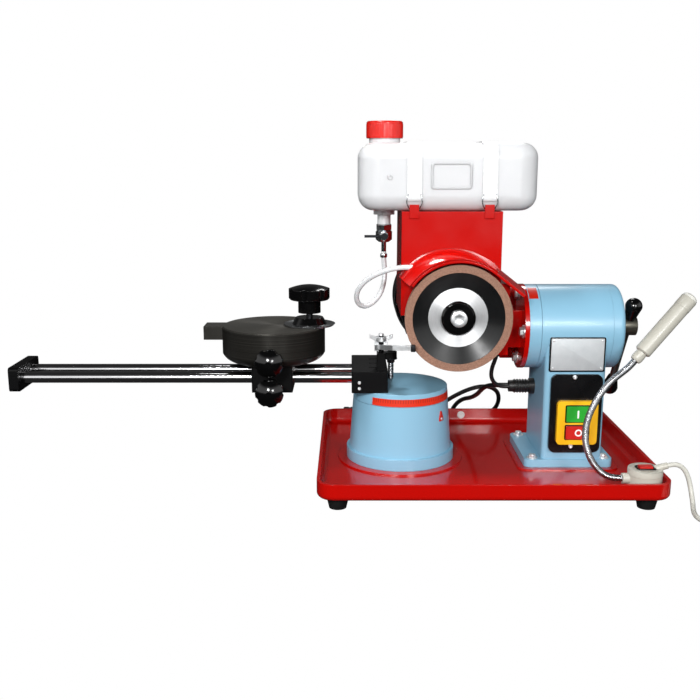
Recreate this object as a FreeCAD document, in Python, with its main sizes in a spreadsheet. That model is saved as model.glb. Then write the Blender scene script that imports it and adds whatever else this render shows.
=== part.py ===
import FreeCAD, Part
import math
import os
import re
import Sketcher

# Water-cooled grinder for the teeth of circular saw blades. Millimetres, +Z up, the operator stands at -Y.
# The origin is on the bench, under the middle of the whole machine. The rods reach out along -X.

doc = FreeCAD.newDocument("saw_blade_grinder")
sheet = doc.addObject("Spreadsheet::Sheet", "Sizes")
TRIAL_CELL = "E1"
V = FreeCAD.Vector

# Driving dimensions: name, value, meaning
DRIVING = [
    ("foot_height", "15", "rubber foot, floor to tray"),
    ("foot_radius", "13.5", "rubber foot, widest radius"),
    ("foot_taper", "3.5", "rubber foot, how much slimmer it is at the floor"),
    ("foot_inset", "24", "foot axis from the tray's outer edges"),
    ("tray_length", "402", "drip tray, left to right"),
    ("tray_width", "314", "drip tray, front to back"),
    ("tray_height", "20.5", "drip tray, underside to rim"),
    ("tray_wall", "4", "drip tray, wall"),
    ("tray_floor", "2", "drip tray, floor thickness"),
    ("tray_corner", "20", "drip tray, corner radius"),
    ("tray_edge", "6", "drip tray, rounding along the underside"),
    ("tray_x", "174.5", "tray centre from the origin"),
    ("pad_height", "2", "raised pads on the tray floor"),
    ("turret_pad_margin", "11", "round pad, past the turret ring"),
    ("column_pad_margin", "8", "square pad, past the column foot"),
    ("turret_x", "75.5", "turret axis from the origin"),
    ("ring_radius", "68", "turret foot ring, radius"),
    ("ring_height", "14", "turret foot ring, height"),
    ("turret_foot_radius", "64.5", "turret cone, radius above the ring"),
    ("turret_top_radius", "58.6", "turret cone, radius at the top"),
    ("turret_wall", "8", "turret casting, wall"),
    ("turret_base_height", "64", "turret cone, fixed lower part"),
    ("turret_cap_height", "15.2", "turret cone, turning top"),
    ("spigot_radius", "20", "turret spigot, radius"),
    ("spigot_length", "42", "turret spigot, length below the turning top"),
    ("turn_gap", "0.3", "gap between flat faces that turn on each other"),
    ("run_clearance", "0.05", "radial clearance of running fits"),
    ("slip_clearance", "0.3", "clearance round loose pieces"),
    ("block_length", "44", "arm block, along the rods"),
    ("block_width", "97", "arm block, front to back"),
    ("block_height", "26.5", "arm block, height"),
    ("block_offset", "40", "arm block centre, left of the turret axis"),
    ("block_edge", "2", "arm block and carrier, rounded upright edges"),
    ("block_slot_width", "4", "arm block, slots in its top"),
    ("block_slot_depth", "3", "arm block, slots in its top"),
    ("rod_radius", "7", "guide rods"),
    ("rod_spacing", "43", "guide rods, between axes"),
    ("rod_drop", "13.5", "guide rod axis above the block's underside"),
    ("rod_reach", "408", "rods, block to end plate"),
    ("rod_seat", "30", "rods, depth in the block"),
    ("end_thickness", "12", "end plate, along the rods"),
    ("end_width", "76", "end plate, front to back"),
    ("end_height", "30", "end plate, height"),
    ("end_corner", "4", "end plate, corner radius"),
    ("carrier_reach", "97.3", "carrier centre, left of the arm block"),
    ("carrier_length", "50", "carrier, along the rods"),
    ("carrier_width", "80", "carrier, front to back"),
    ("carrier_height", "33.5", "carrier, height"),
    ("carrier_drop", "15", "rod axis above the carrier's underside"),
    ("post_radius", "16", "carrier post that the blade seat turns on"),
    ("post_height", "24", "carrier post, above the carrier"),
    ("seat_radius", "64", "blade seat, outside radius"),
    ("seat_height", "43.7", "blade seat, height"),
    ("seat_foot_radius", "50", "blade seat, radius of its underside"),
    ("seat_round", "10", "blade seat, height of the rounded lower edge"),
    ("seat_round_radius", "18", "blade seat, radius of the rounded lower edge"),
    ("seat_edge", "1.5", "blade seat, bevel of the top edge"),
    ("seat_wall", "8", "blade seat, wall round the cored underside"),
    ("seat_top_thickness", "14", "blade seat, top plate"),
    ("hub_wall", "10", "hub walls of the turret and the blade seat"),
    ("lug_reach", "85.7", "blade seat lug, from the seat axis"),
    ("lug_width", "30", "blade seat lug, front to back"),
    ("lug_height", "16.5", "blade seat lug, height"),
    ("cone_offset", "44.8", "centring cone axis, right of the seat axis"),
    ("recess_depth", "0.8", "blade seat, relief under the centring disc"),
    ("disc_radius", "32", "centring disc"),
    ("disc_height", "2.2", "centring disc"),
    ("cone_base_radius", "21.7", "centring cone, base"),
    ("cone_top_radius", "17", "centring cone, top"),
    ("cone_height", "8", "centring cone"),
    ("stem_radius", "4", "clamp stem"),
    ("stem_depth", "7", "clamp stem, depth in the blade seat"),
    ("stem_grip", "12", "clamp stem, depth in the knob"),
    ("clamp_travel", "5", "clamp screw, travel up and down"),
    ("clamp_gap", "5.8", "clamp knob above the cone"),
    ("clamp_hub_radius", "14", "clamp knob, hub"),
    ("clamp_hub_height", "16.4", "clamp knob, hub"),
    ("clamp_radius", "25.5", "clamp knob, head"),
    ("clamp_height", "18.4", "clamp knob, head"),
    ("clamp_dome", "70", "clamp knob, radius of the domed face"),
    ("star_radius", "17", "star knobs, radius"),
    ("star_height", "16", "star knobs, head thickness"),
    ("star_dome", "24", "star knobs, radius of the domed face"),
    ("star_neck_radius", "8", "star knobs, neck"),
    ("star_neck_length", "7", "seat knob, neck"),
    ("stud_radius", "4", "star knobs, stud"),
    ("stud_depth", "7", "star knobs, stud in the casting"),
    ("seat_knob_rise", "11.2", "seat knob axis above the seat's underside"),
    ("carrier_knob_rise", "9", "carrier knob axis above the carrier's underside"),
    ("knob_flat", "4", "knobs, radius of the flat in the middle of the face"),
    ("knob_bevel", "2", "knobs, bevel under the head"),
    ("clamp_crown", "5", "clamp knob, depth of the domed face"),
    ("lobe_count", "7", "knob lobes"),
    ("lobe_radius", "3.6", "star knobs, radius of the scallops"),
    ("clamp_lobe_radius", "4.6", "clamp knob, radius of the scallops"),
    ("finger_inset", "8", "finger bracket, its middle from the block's right end"),
    ("finger_y", "-30", "finger pin from the centre plane"),
    ("bracket_width", "24", "finger bracket, front to back"),
    ("bracket_thickness", "10", "finger bracket, left to right"),
    ("bracket_height", "21.5", "finger bracket, above the block"),
    ("tongue_height", "8", "finger bracket, tongue thickness"),
    ("tongue_reach", "12", "stop screw, from the bracket's middle"),
    ("tongue_radius", "7.4", "finger bracket, tongue end"),
    ("pin_radius", "3", "finger pin"),
    ("screw_drop", "34", "stop screw, below the tongue's top"),
    ("hub_radius", "8", "finger hub"),
    ("finger_hub_height", "12.5", "finger hub"),
    ("finger_lift", "2", "finger bar, above the hub's underside"),
    ("finger_reach", "62", "finger, pin to its bend, towards the operator"),
    ("finger_side", "15", "finger, pin to its bend, to the right"),
    ("finger_tip", "22", "finger, bend to tip, to the right"),
    ("finger_width", "8", "finger bar"),
    ("finger_height", "6", "finger bar"),
    ("finger_rise", "12", "finger, rise from hub to tip"),
    ("wing_span", "28", "wing nut, tip to tip"),
    ("wing_height", "8", "wing nut"),
    ("wing_waist", "5.5", "wing nut, height between the wings"),
    ("wing_hub_radius", "6.5", "wing nut, hub"),
    ("column_x", "284", "column centre from the origin"),
    ("post_width", "74", "column post, left to right"),
    ("post_depth", "100", "column post, front to back"),
    ("column_wall", "9", "column casting, wall"),
    ("post_edge", "6", "column post, rounding of the upright edges"),
    ("column_foot_length", "108.5", "column foot, left to right"),
    ("column_foot_width", "112", "column foot, front to back"),
    ("column_foot_height", "10", "column foot"),
    ("column_foot_corner", "8", "column foot, corner radius"),
    ("column_foot_shift", "4", "column foot, set back from the post"),
    ("column_foot_x", "-3.2", "column foot centre from the post centre"),
    ("pivot_height", "158", "pivot axis above the column foot"),
    ("barrel_radius", "52", "column barrel"),
    ("barrel_left", "42.7", "column barrel, left end from the post centre"),
    ("barrel_right", "43", "column barrel, right end from the post centre"),
    ("ring_length", "14.5", "swing ring, along the pivot"),
    ("cap_length", "15", "barrel end cap"),
    ("cap_round", "6", "barrel end cap, rounded edge"),
    ("shaft_radius", "15", "pivot shaft"),
    ("shaft_end_radius", "8", "pivot shaft, past the end cap"),
    ("bush_wall", "4", "pivot bushes, wall"),
    ("bush_length", "24", "pivot bushes, length"),
    ("flange_radius", "52.5", "head flange"),
    ("flange_thickness", "5.5", "head flange"),
    ("bolt_circle", "40", "flange bolts, circle radius"),
    ("bolt_radius", "5.5", "flange bolts, head radius across corners"),
    ("bolt_height", "5", "flange bolts, head height"),
    ("switch_shift", "1.4", "switch plate, right of the post centre"),
    ("switch_width", "62.5", "switch plate"),
    ("switch_height", "98", "switch plate"),
    ("switch_rise", "20", "switch plate, above the column foot's underside"),
    ("switch_thickness", "4", "switch plate"),
    ("switch_corner", "8", "switch plate, corner radius"),
    ("frame_width", "49", "yellow frame"),
    ("frame_height", "54.2", "yellow frame"),
    ("frame_thickness", "6.5", "yellow frame"),
    ("frame_corner", "5", "yellow frame, corner radius"),
    ("button_corner", "1.5", "push buttons, corner radius"),
    ("frame_rise", "12", "yellow frame, above the plate's lower edge"),
    ("frame_shift", "1.1", "yellow frame, right of the plate centre"),
    ("button_width", "27.5", "push buttons"),
    ("start_height", "19.4", "start button"),
    ("stop_height", "16.4", "stop button"),
    ("button_depth", "6", "push buttons, front to back"),
    ("button_gap", "5.2", "between the push buttons"),
    ("button_proud", "2.5", "push buttons, proud of the frame"),
    ("stop_rise", "7.4", "stop button, above the frame's lower edge"),
    ("gland_radius", "8", "cable gland"),
    ("gland_length", "32", "cable gland"),
    ("gland_collar", "6", "cable gland, collar"),
    ("gland_lip", "2", "cable gland, collar past its barrel"),
    ("gland_tip_radius", "7.5", "cable gland, at its tip"),
    ("gland_y", "14", "cable gland, behind the centre plane"),
    ("gland_z", "106", "cable gland, above the bench"),
    ("wheel_x", "137.7", "grinding spindle axis from the origin"),
    ("wheel_rise", "22.7", "grinding spindle above the pivot axis"),
    ("wheel_face", "81", "wheel face in front of the pivot axis"),
    ("wheel_radius", "62.5", "grinding wheel"),
    ("abrasive_width", "8.7", "abrasive rim, radial width"),
    ("abrasive_depth", "10", "abrasive rim, axial depth"),
    ("body_back", "5", "wheel body, back plate thickness"),
    ("dish_depth", "9", "wheel body, depth of the dished face"),
    ("dish_lip", "0.8", "wheel body, below the abrasive face"),
    ("core_radius", "35", "wheel, aluminium core"),
    ("core_thickness", "6", "wheel, aluminium core"),
    ("washer_radius", "20", "clamp flange on the wheel"),
    ("washer_thickness", "6", "clamp flange on the wheel"),
    ("washer_bevel", "2", "clamp flange on the wheel, bevel"),
    ("screw_radius", "9.75", "arbor screw head"),
    ("screw_height", "6", "arbor screw head"),
    ("screw_shank", "5", "arbor screw shank radius"),
    ("screw_depth", "16", "arbor screw, depth of its hole in the spindle"),
    ("screw_bevel", "1", "arbor screw head, bevel"),
    ("screw_room", "1", "arbor screw, room past its tip"),
    ("spindle_radius", "10", "motor spindle"),
    ("bracket_front", "57", "head bracket front, before the pivot axis"),
    ("bracket_plate", "5", "head bracket, front plate"),
    ("bracket_bottom", "25", "head bracket's lower edge below the pivot axis"),
    ("tower_width", "117", "tower, left to right"),
    ("tower_depth", "104", "tower, front to back"),
    ("tower_shift", "7.7", "tower centre, left of the spindle"),
    ("tower_wall", "2.5", "tower, sheet thickness"),
    ("tower_rise", "144.5", "tower top above the pivot axis"),
    ("tab_width", "11", "strap tabs"),
    ("tab_height", "8", "strap tabs"),
    ("saddle_width", "46", "motor saddle at the flange, front to back"),
    ("saddle_height", "46", "motor saddle at the flange"),
    ("cheek_right", "62", "bracket cheek, right of the spindle"),
    ("cheek_top", "38", "bracket cheek, above the spindle"),
    ("cheek_back", "24", "bracket cheek, behind the pivot axis"),
    ("mount_radius", "60", "round motor mount behind the wheel"),
    ("guard_gap", "3", "guard hood, wheel to sheet at the front"),
    ("guard_sheet", "3", "guard hood, sheet thickness"),
    ("guard_flare", "5", "guard hood, how much wider it is at the back"),
    ("guard_front", "86", "guard hood, front edge before the pivot axis"),
    ("guard_start", "145", "guard hood, left end, degrees"),
    ("guard_end", "52", "guard hood, where the straight lip begins, degrees"),
    ("guard_lip", "42", "guard hood, straight lip"),
    ("motor_radius", "58", "motor housing, under the fins"),
    ("fin_height", "5.5", "motor fins"),
    ("fin_thickness", "3", "motor fins"),
    ("fin_count", "36", "motor fins"),
    ("motor_length", "132", "motor housing"),
    ("motor_wall", "6", "motor housing wall"),
    ("cowl_radius", "68", "motor fan cowl"),
    ("cowl_length", "46", "motor fan cowl"),
    ("cowl_wall", "2", "motor fan cowl, sheet"),
    ("vent_count", "10", "motor fan cowl, vents"),
    ("vent_width", "6", "motor fan cowl, vents"),
    ("vent_length", "29", "motor fan cowl, vents"),
    ("vent_middle", "34.8", "motor fan cowl, middle of the vents from its axis"),
    ("bearing_outer", "18", "motor bearings, outside radius"),
    ("bearing_width", "10", "motor bearings"),
    ("rotor_radius", "38", "rotor core"),
    ("air_gap", "0.6", "rotor to stator"),
    ("stator_start", "30", "stator stack, from the motor's front"),
    ("stator_length", "70", "stator stack"),
    ("fan_radius", "58", "fan"),
    ("fan_width", "14", "fan"),
    ("tank_length", "210.5", "tank, left to right"),
    ("tank_depth", "110", "tank, front to back"),
    ("tank_height", "78", "tank, without neck and spout"),
    ("tank_corner", "26", "tank, upright corners"),
    ("tank_round", "18", "tank, rounded edges"),
    ("tank_wall", "2.5", "tank wall"),
    ("neck_gap", "18.55", "tank neck and spout, left of the tower"),
    ("neck_inset", "32", "tank neck and spout, from the tank's left end"),
    ("neck_radius", "18.5", "tank neck"),
    ("neck_height", "21", "tank neck"),
    ("cap_radius", "21.8", "tank cap"),
    ("cap_height", "20", "tank cap"),
    ("cap_rise", "5.5", "tank cap, above the tank"),
    ("cap_top", "3", "tank cap, thickness of its top"),
    ("cap_bevel", "1.5", "tank cap, bevel round its top"),
    ("spout_flange_radius", "12.8", "tank spout, collar"),
    ("spout_flange_height", "6.5", "tank spout, collar"),
    ("spout_radius", "8", "tank spout"),
    ("spout_bore", "4", "tank spout, bore"),
    ("spout_length", "18.5", "tank spout"),
    ("valve_drop", "13.5", "valve centre below the spout"),
    ("valve_radius", "10", "valve body"),
    ("valve_waist", "6", "valve body, waist"),
    ("valve_shoulder", "8", "valve centre to the top of its hose tail"),
    ("boss_length", "2", "valve boss, proud of the valve"),
    ("valve_nut_radius", "9", "valve union nut"),
    ("valve_nut_height", "6", "valve union nut"),
    ("barb_radius", "3", "valve hose tail"),
    ("barb_drop", "19.5", "valve hose tail, below the valve centre"),
    ("key_reach", "24", "valve key, length to the left"),
    ("key_radius", "1.6", "valve key"),
    ("key_wall", "1", "valve key, boss wall round the pin"),
    ("key_boss_radius", "4", "valve key boss"),
    ("strap_width", "17.5", "tank straps"),
    ("strap_thickness", "1.2", "tank straps"),
    ("strap_gap", "0.2", "tank straps, off the tank"),
    ("strap_start", "12", "tank straps, lower end above the tank's underside"),
    ("strap_left", "52", "left strap, left of the spindle"),
    ("strap_right", "35", "right strap, right of the spindle"),
    ("lever_gap", "8", "lever hub from the end cap"),
    ("lever_hub_radius", "12", "lever hub"),
    ("lever_hub_length", "18", "lever hub"),
    ("lever_radius", "4.5", "lever bar"),
    ("lever_tilt", "33", "lever, degrees from upright, top to the front"),
    ("lever_down", "92", "lever bar, pivot to the lower grip"),
    ("lever_up", "13", "lever bar, pivot to the upper grip"),
    ("grip_radius", "10.4", "lever grips"),
    ("grip_neck", "6.2", "lever grips, neck radius"),
    ("grip_length", "30", "lever grips"),
    ("lamp_inset", "26", "lamp foot, from the tray's right end"),
    ("lamp_setback", "29", "lamp foot, from the tray's front"),
    ("lamp_foot_radius", "19.3", "lamp foot"),
    ("lamp_foot_height", "28", "lamp foot"),
    ("lamp_collar_radius", "6", "lamp foot, gooseneck socket"),
    ("lamp_collar_length", "7", "lamp foot, gooseneck socket"),
    ("lamp_exit_rise", "16", "lamp foot, socket axis above the tray floor"),
    ("rocker_length", "15", "lamp rocker"),
    ("rocker_width", "9", "lamp rocker"),
    ("rocker_height", "6", "lamp rocker"),
    ("rocker_proud", "3", "lamp rocker, proud of the foot"),
    ("rocker_room", "0.8", "lamp rocker, room round it to tilt"),
    ("lamp_edge", "1.5", "lamp head, rounding of its ends"),
    ("neck_tube_radius", "4", "gooseneck"),
    ("lamp_head_radius", "9.5", "lamp head"),
    ("lamp_head_length", "91", "lamp head, with its tail piece"),
    ("lamp_tail_radius", "6.5", "lamp head, tail piece"),
    ("lamp_tail_length", "10", "lamp head, tail piece"),
    ("cord_collar_radius", "3.8", "lamp foot, cord collar"),
    ("cord_collar_length", "15.45", "lamp foot, cord collar"),
    ("cord_collar_tilt", "14", "lamp foot, cord collar's slope in degrees"),
    ("cord_collar_side", "10", "lamp foot, cord collar's start from the foot's axis"),
    ("cord_collar_rise", "27.37", "lamp foot, cord collar's start above the tray floor"),
    ("mains_radius", "3.1", "mains lead"),
    ("lead_radius", "2.6", "motor lead"),
    ("lead_spread", "3.7", "two leads in the gland, each from its middle"),
    ("lead_x", "197", "motor lead, where it leaves the head"),
    ("lamp_cord_radius", "2.75", "lamp cord"),
    ("mains_coil_radius", "34", "mains coil, at the middle of its turns"),
    ("mains_coil_x", "84", "mains coil, from the origin"),
    ("mains_coil_gap", "60", "mains coil, its middle behind the tray"),
    ("lamp_coil_radius", "30", "lamp coil, at the middle of its turns"),
    ("lamp_coil_gap", "66.5", "lamp coil, its middle from the tray's right end"),
    ("lamp_coil_front", "43", "lamp coil, its middle in front of the lamp foot"),
    ("plug_relief", "46", "plug, tapered sleeve on the cord"),
    ("plug_neck", "6", "plug, radius of the sleeve at the plug"),
    ("plug_sleeve", "1", "plug, wall of the sleeve at its tip"),
    ("plug_bevel", "2", "plug, bevel at the sleeve"),
    ("plug_length", "36", "plug, body"),
    ("plug_pin_radius", "2.4", "plug, pins"),
    ("plug_pin_length", "19", "plug, pins"),
    ("plug_pin_spread", "9.5", "plug, pins, each from the middle"),
    ("hose_radius", "3", "coolant hose"),
]

# Worked out from the driving dimensions
WORKED_OUT = [
    ("tray_right", "tray_x + tray_length / 2"),
    ("tray_back", "tray_width / 2"),
    ("mains_coil_y", "tray_back + mains_coil_gap"),
    ("floor_z", "foot_height + tray_floor"),
    ("pad_z", "floor_z + pad_height"),
    ("turret_slope", "(turret_foot_radius - turret_top_radius) / (turret_base_height + turret_cap_height)"),
    ("turret_seam_radius", "turret_foot_radius - turret_slope * turret_base_height"),
    ("turret_seam_z", "pad_z + ring_height + turret_base_height"),
    ("turret_top_z", "turret_seam_z + turn_gap + turret_cap_height"),
    ("block_x", "turret_x - block_offset"),
    ("block_left", "block_x - block_length / 2"),
    ("block_right", "block_x + block_length / 2"),
    ("block_top", "turret_top_z + block_height"),
    ("rod_z", "turret_top_z + rod_drop"),
    ("end_x", "block_left - rod_reach"),
    ("carrier_x", "block_left - carrier_reach"),
    ("carrier_bottom", "rod_z - carrier_drop"),
    ("carrier_top", "carrier_bottom + carrier_height"),
    ("seat_z", "carrier_top + turn_gap"),
    ("seat_top", "seat_z + seat_height"),
    ("cone_x", "carrier_x + cone_offset"),
    ("cone_z", "seat_top - recess_depth + turn_gap"),
    ("cone_top", "cone_z + disc_height + cone_height"),
    ("clamp_z", "cone_top + clamp_gap"),
    ("seat_knob_z", "seat_z + seat_knob_rise"),
    ("carrier_knob_z", "carrier_bottom + carrier_knob_rise"),
    ("bracket_x", "block_right - finger_inset"),
    ("stop_x", "bracket_x + tongue_reach"),
    ("tongue_top", "block_top + bracket_height"),
    ("finger_z", "tongue_top + turn_gap"),
    ("wing_z", "finger_z + finger_hub_height + turn_gap"),
    ("pivot_z", "pad_z + column_foot_height + pivot_height"),
    ("barrel_left_x", "column_x - barrel_left"),
    ("barrel_right_x", "column_x + barrel_right"),
    ("ring_right_x", "barrel_left_x - turn_gap"),
    ("flange_right_x", "ring_right_x - ring_length"),
    ("flange_left_x", "flange_right_x - flange_thickness"),
    ("cap_right_x", "barrel_right_x + cap_length"),
    ("lever_x", "cap_right_x + lever_gap"),
    ("post_front", "post_depth / 2"),
    ("switch_x", "column_x + switch_shift"),
    ("switch_z", "pad_z + switch_rise"),
    ("frame_x", "switch_x + frame_shift"),
    ("frame_z", "switch_z + frame_rise"),
    ("frame_back", "post_front + switch_thickness"),
    ("frame_front", "frame_back + frame_thickness"),
    ("stop_z", "frame_z + stop_rise"),
    ("start_z", "stop_z + stop_height + button_gap"),
    ("post_left_x", "column_x - post_width / 2"),
    ("wheel_z", "pivot_z + wheel_rise"),
    ("wheel_back", "wheel_face - abrasive_depth - body_back"),
    ("bracket_back", "bracket_front - bracket_plate"),
    ("motor_rear", "motor_length - bracket_back"),
    ("tower_x", "wheel_x - tower_shift"),
    ("tower_top", "pivot_z + tower_rise"),
    ("bracket_low", "pivot_z - bracket_bottom"),
    ("fin_radius", "motor_radius + fin_height"),
    ("neck_x", "tower_x - tower_width / 2 - neck_gap"),
    ("tank_x", "neck_x - neck_inset + tank_length / 2"),
    ("tank_z", "tower_top"),
    ("tank_top", "tank_z + tank_height"),
    ("spout_bottom", "tank_z - spout_length"),
    ("valve_z", "spout_bottom - valve_drop"),
    ("barb_bottom", "valve_z - barb_drop"),
    ("lamp_x", "tray_right - lamp_inset"),
    ("lamp_y", "lamp_setback - tray_width / 2"),
    ("lamp_exit_z", "floor_z + lamp_exit_rise"),
    ("lamp_coil_x", "tray_right + lamp_coil_gap"),
    ("lamp_coil_y", "lamp_y - lamp_coil_front"),
]


def fill_sheet():
    """Write the driving dimensions as plain numbers and the worked-out ones as formulas."""
    row = 0
    for name, value, meaning in DRIVING:
        row += 1
        sheet.set(f"A{row}", meaning)
        sheet.set(f"B{row}", value)
        sheet.setAlias(f"B{row}", name)
    for name, text in WORKED_OUT:
        row += 1
        sheet.set(f"A{row}", name)
        sheet.set(f"B{row}", "=" + text)
        sheet.setAlias(f"B{row}", name)
    doc.recompute()


def formula(text):
    """A formula of plain size names, as the document's objects read it."""
    return re.sub(r"\b[a-z]\w*\b(?!\()", lambda found: "Sizes." + found.group(0), text)


def number(text):
    """The value of a formula of plain size names."""
    sheet.set(TRIAL_CELL, "=" + text)
    sheet.recompute()
    return float(sheet.get(TRIAL_CELL))


# Tools for drawing

UP = FreeCAD.Rotation()
TURNS = {
    "Z": UP,
    "-Z": FreeCAD.Rotation(V(1, 0, 0), 180),
    "X": FreeCAD.Rotation(V(0, 1, 0), 90),
    "-X": FreeCAD.Rotation(V(0, 1, 0), -90),
    "Y": FreeCAD.Rotation(V(1, 0, 0), -90),
    "-Y": FreeCAD.Rotation(V(1, 0, 0), 90),
}
SAME_LEVEL = 1e-4
subparts = {}


def keep(node, piece):
    """Name a finished sub-part."""
    piece.Label = node
    subparts[node] = piece
    return piece


def bind(piece, **sizes):
    """Bind properties of a piece to formulas of the sheet."""
    for prop, text in sizes.items():
        piece.setExpression(prop, formula(text))
    return piece


def place(piece, at=("0", "0", "0"), axis="Z"):
    """Stand a piece at a point, with its own Z along an axis of the machine or by a given rotation."""
    turn = TURNS[axis] if isinstance(axis, str) else axis
    piece.Placement = FreeCAD.Placement(V(0, 0, 0), turn)
    for letter, text in zip("xyz", at):
        piece.setExpression("Placement.Base." + letter, formula(text))
    return piece


def new_body(name, at=("0", "0", "0"), axis="Z"):
    """An empty body at its place."""
    return place(doc.addObject("PartDesign::Body", name), at, axis)


def origin_of(body, role):
    """A plane or axis of the body's own origin."""
    return [item for item in body.Origin.OriginFeatures if item.Role == role][0]


def new_sketch(body, name, plane, lift="0"):
    """An empty sketch on a plane of the body's origin, lifted along the plane's normal."""
    sketch = body.newObject("Sketcher::SketchObject", name)
    sketch.AttachmentSupport = [(origin_of(body, plane + "_Plane"), "")]
    sketch.MapMode = "FlatFace"
    sketch.setExpression("AttachmentOffset.Base.z", formula(lift))
    return sketch


def fix_point(sketch, geometry, end, x, y):
    """Hold one point of a sketch at a place given by two formulas."""
    for kind, text in (("DistanceX", x), ("DistanceY", y)):
        index = sketch.addConstraint(Sketcher.Constraint(kind, -1, 1, geometry, end, number(text)))
        sketch.setExpression(f"Constraints[{index}]", formula(text))


def arc_between(start, end, radius, side):
    """The short arc of a radius from start to end. Side 1 bulges to the right of the way, -1 to the left."""
    chord = end - start
    reach = math.sqrt(max(radius ** 2 - (chord.Length / 2) ** 2, 0.0))
    left = V(-chord.y, chord.x, 0).normalize()
    centre = (start + end) * 0.5 + left * (reach * side)
    first, last = (start, end) if side > 0 else (end, start)
    angles = [math.atan2(p.y - centre.y, p.x - centre.x) for p in (first, last)]
    return Part.ArcOfCircle(Part.Circle(centre, V(0, 0, 1), radius), *angles)


def outline(body, name, plane, points, lift="0"):
    """A closed outline. A point is (x, y), or (x, y, radius, side) where an arc leads on from it."""
    sketch = new_sketch(body, name, plane, lift)
    places = [V(number(p[0]), number(p[1]), 0) for p in points]
    ends = []
    for index, point in enumerate(points):
        start, end = places[index], places[(index + 1) % len(points)]
        if len(point) == 2:
            sketch.addGeometry(Part.LineSegment(start, end), False)
            ends.append((1, 2))
        else:
            sketch.addGeometry(arc_between(start, end, number(point[2]), point[3]), False)
            ends.append((1, 2) if point[3] > 0 else (2, 1))
    for index, point in enumerate(points):
        following = (index + 1) % len(points)
        join = Sketcher.Constraint("Coincident", index, ends[index][1], following, ends[following][0])
        sketch.addConstraint(join)
    for index, point in enumerate(points):
        fix_point(sketch, index, ends[index][0], point[0], point[1])
        if len(point) > 2:
            radius = sketch.addConstraint(Sketcher.Constraint("Radius", index, number(point[2])))
            sketch.setExpression(f"Constraints[{radius}]", formula(point[2]))
    return sketch


def circles(body, name, plane, places, lift="0"):
    """Circles in one sketch, each (x, y, radius)."""
    sketch = new_sketch(body, name, plane, lift)
    for x, y, radius in places:
        centre = V(number(x), number(y), 0)
        index = sketch.addGeometry(Part.Circle(centre, V(0, 0, 1), number(radius)), False)
        fix_point(sketch, index, 3, x, y)
        size = sketch.addConstraint(Sketcher.Constraint("Radius", index, number(radius)))
        sketch.setExpression(f"Constraints[{size}]", formula(radius))
    return sketch


def rectangle(wide, deep, x="0", y="0"):
    """The corners of a rectangle round a centre."""
    left, right = f"{x} - ({wide}) / 2", f"{x} + ({wide}) / 2"
    low, high = f"{y} - ({deep}) / 2", f"{y} + ({deep}) / 2"
    return [(left, low), (right, low), (right, high), (left, high)]


def slab(wide, deep, corner, x="0", y="0"):
    """The outline of a rectangle with round corners."""
    left, right = f"{x} - ({wide}) / 2", f"{x} + ({wide}) / 2"
    low, high = f"{y} - ({deep}) / 2", f"{y} + ({deep}) / 2"
    return [
        (f"{left} + ({corner})", low), (f"{right} - ({corner})", low, corner, 1),
        (right, f"{low} + ({corner})"), (right, f"{high} - ({corner})", corner, 1),
        (f"{right} - ({corner})", high), (f"{left} + ({corner})", high, corner, 1),
        (left, f"{high} - ({corner})"), (left, f"{low} + ({corner})", corner, 1),
    ]


def pad(body, name, sketch, length, backward=False, both=False):
    """Push a sketch out along its normal."""
    feature = body.newObject("PartDesign::Pad", name)
    feature.Profile = sketch
    feature.Reversed = backward
    feature.Midplane = both
    return bind(feature, Length=length)


def pocket(body, name, sketch, length, backward=False, both=False):
    """Cut a sketch into the body, against its normal unless backward."""
    feature = body.newObject("PartDesign::Pocket", name)
    feature.Profile = sketch
    feature.Reversed = backward
    feature.Midplane = both
    return bind(feature, Length=length)


def revolve(body, name, sketch):
    """Turn a sketch round the body's own Z axis."""
    feature = body.newObject("PartDesign::Revolution", name)
    feature.Profile = sketch
    feature.ReferenceAxis = (origin_of(body, "Z_Axis"), [""])
    feature.Angle = 360
    return feature


def turned(node, profile, at, axis="Z"):
    """A turned piece: a profile of (radius, height) points round its own axis."""
    body = new_body(node, at, axis)
    revolve(body, node + "_turning", outline(body, node + "_profile", "XZ", profile))
    return keep(node, body)


def repeat_round(body, name, feature, count):
    """Repeat a feature round the body's own Z axis."""
    pattern = body.newObject("PartDesign::PolarPattern", name)
    pattern.Originals = [feature]
    pattern.Axis = (origin_of(body, "Z_Axis"), [""])
    pattern.Angle = 360
    bind(pattern, Occurrences=count)
    body.Tip = pattern
    return pattern


def round_edges(body, name, radius, wanted):
    """Round the edges that a test picks."""
    doc.recompute()
    base = body.Tip
    picked = [f"Edge{i + 1}" for i, edge in enumerate(base.Shape.Edges) if wanted(edge)]
    feature = body.newObject("PartDesign::Fillet", name)
    feature.Base = (base, picked)
    return bind(feature, Radius=radius)


def lies_at(edge, letter, text):
    """Whether an edge lies wholly at one coordinate."""
    level = number(text)
    ends = (getattr(edge.BoundBox, letter + "Min"), getattr(edge.BoundBox, letter + "Max"))
    return all(abs(end - level) < SAME_LEVEL for end in ends)


def cylinder(name, radius, height, at=("0", "0", "0"), axis="Z"):
    """A plain cylinder."""
    piece = bind(doc.addObject("Part::Cylinder", name), Radius=radius, Height=height)
    return place(piece, at, axis)


def block(name, length, width, height, at=("0", "0", "0"), axis="Z"):
    """A plain block from its lowest corner."""
    piece = bind(doc.addObject("Part::Box", name), Length=length, Width=width, Height=height)
    return place(piece, at, axis)


def cut(name, base, *tools):
    """A piece with others taken out of it."""
    piece = doc.addObject("Part::Cut", name)
    piece.Base = base
    piece.Tool = tools[0] if len(tools) == 1 else fuse(name + "_tools", *tools)
    return piece


def fuse(name, *pieces):
    """Pieces joined into one."""
    joined = doc.addObject("Part::MultiFuse", name)
    joined.Shapes = list(pieces)
    joined.Refine = True
    return joined


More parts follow.
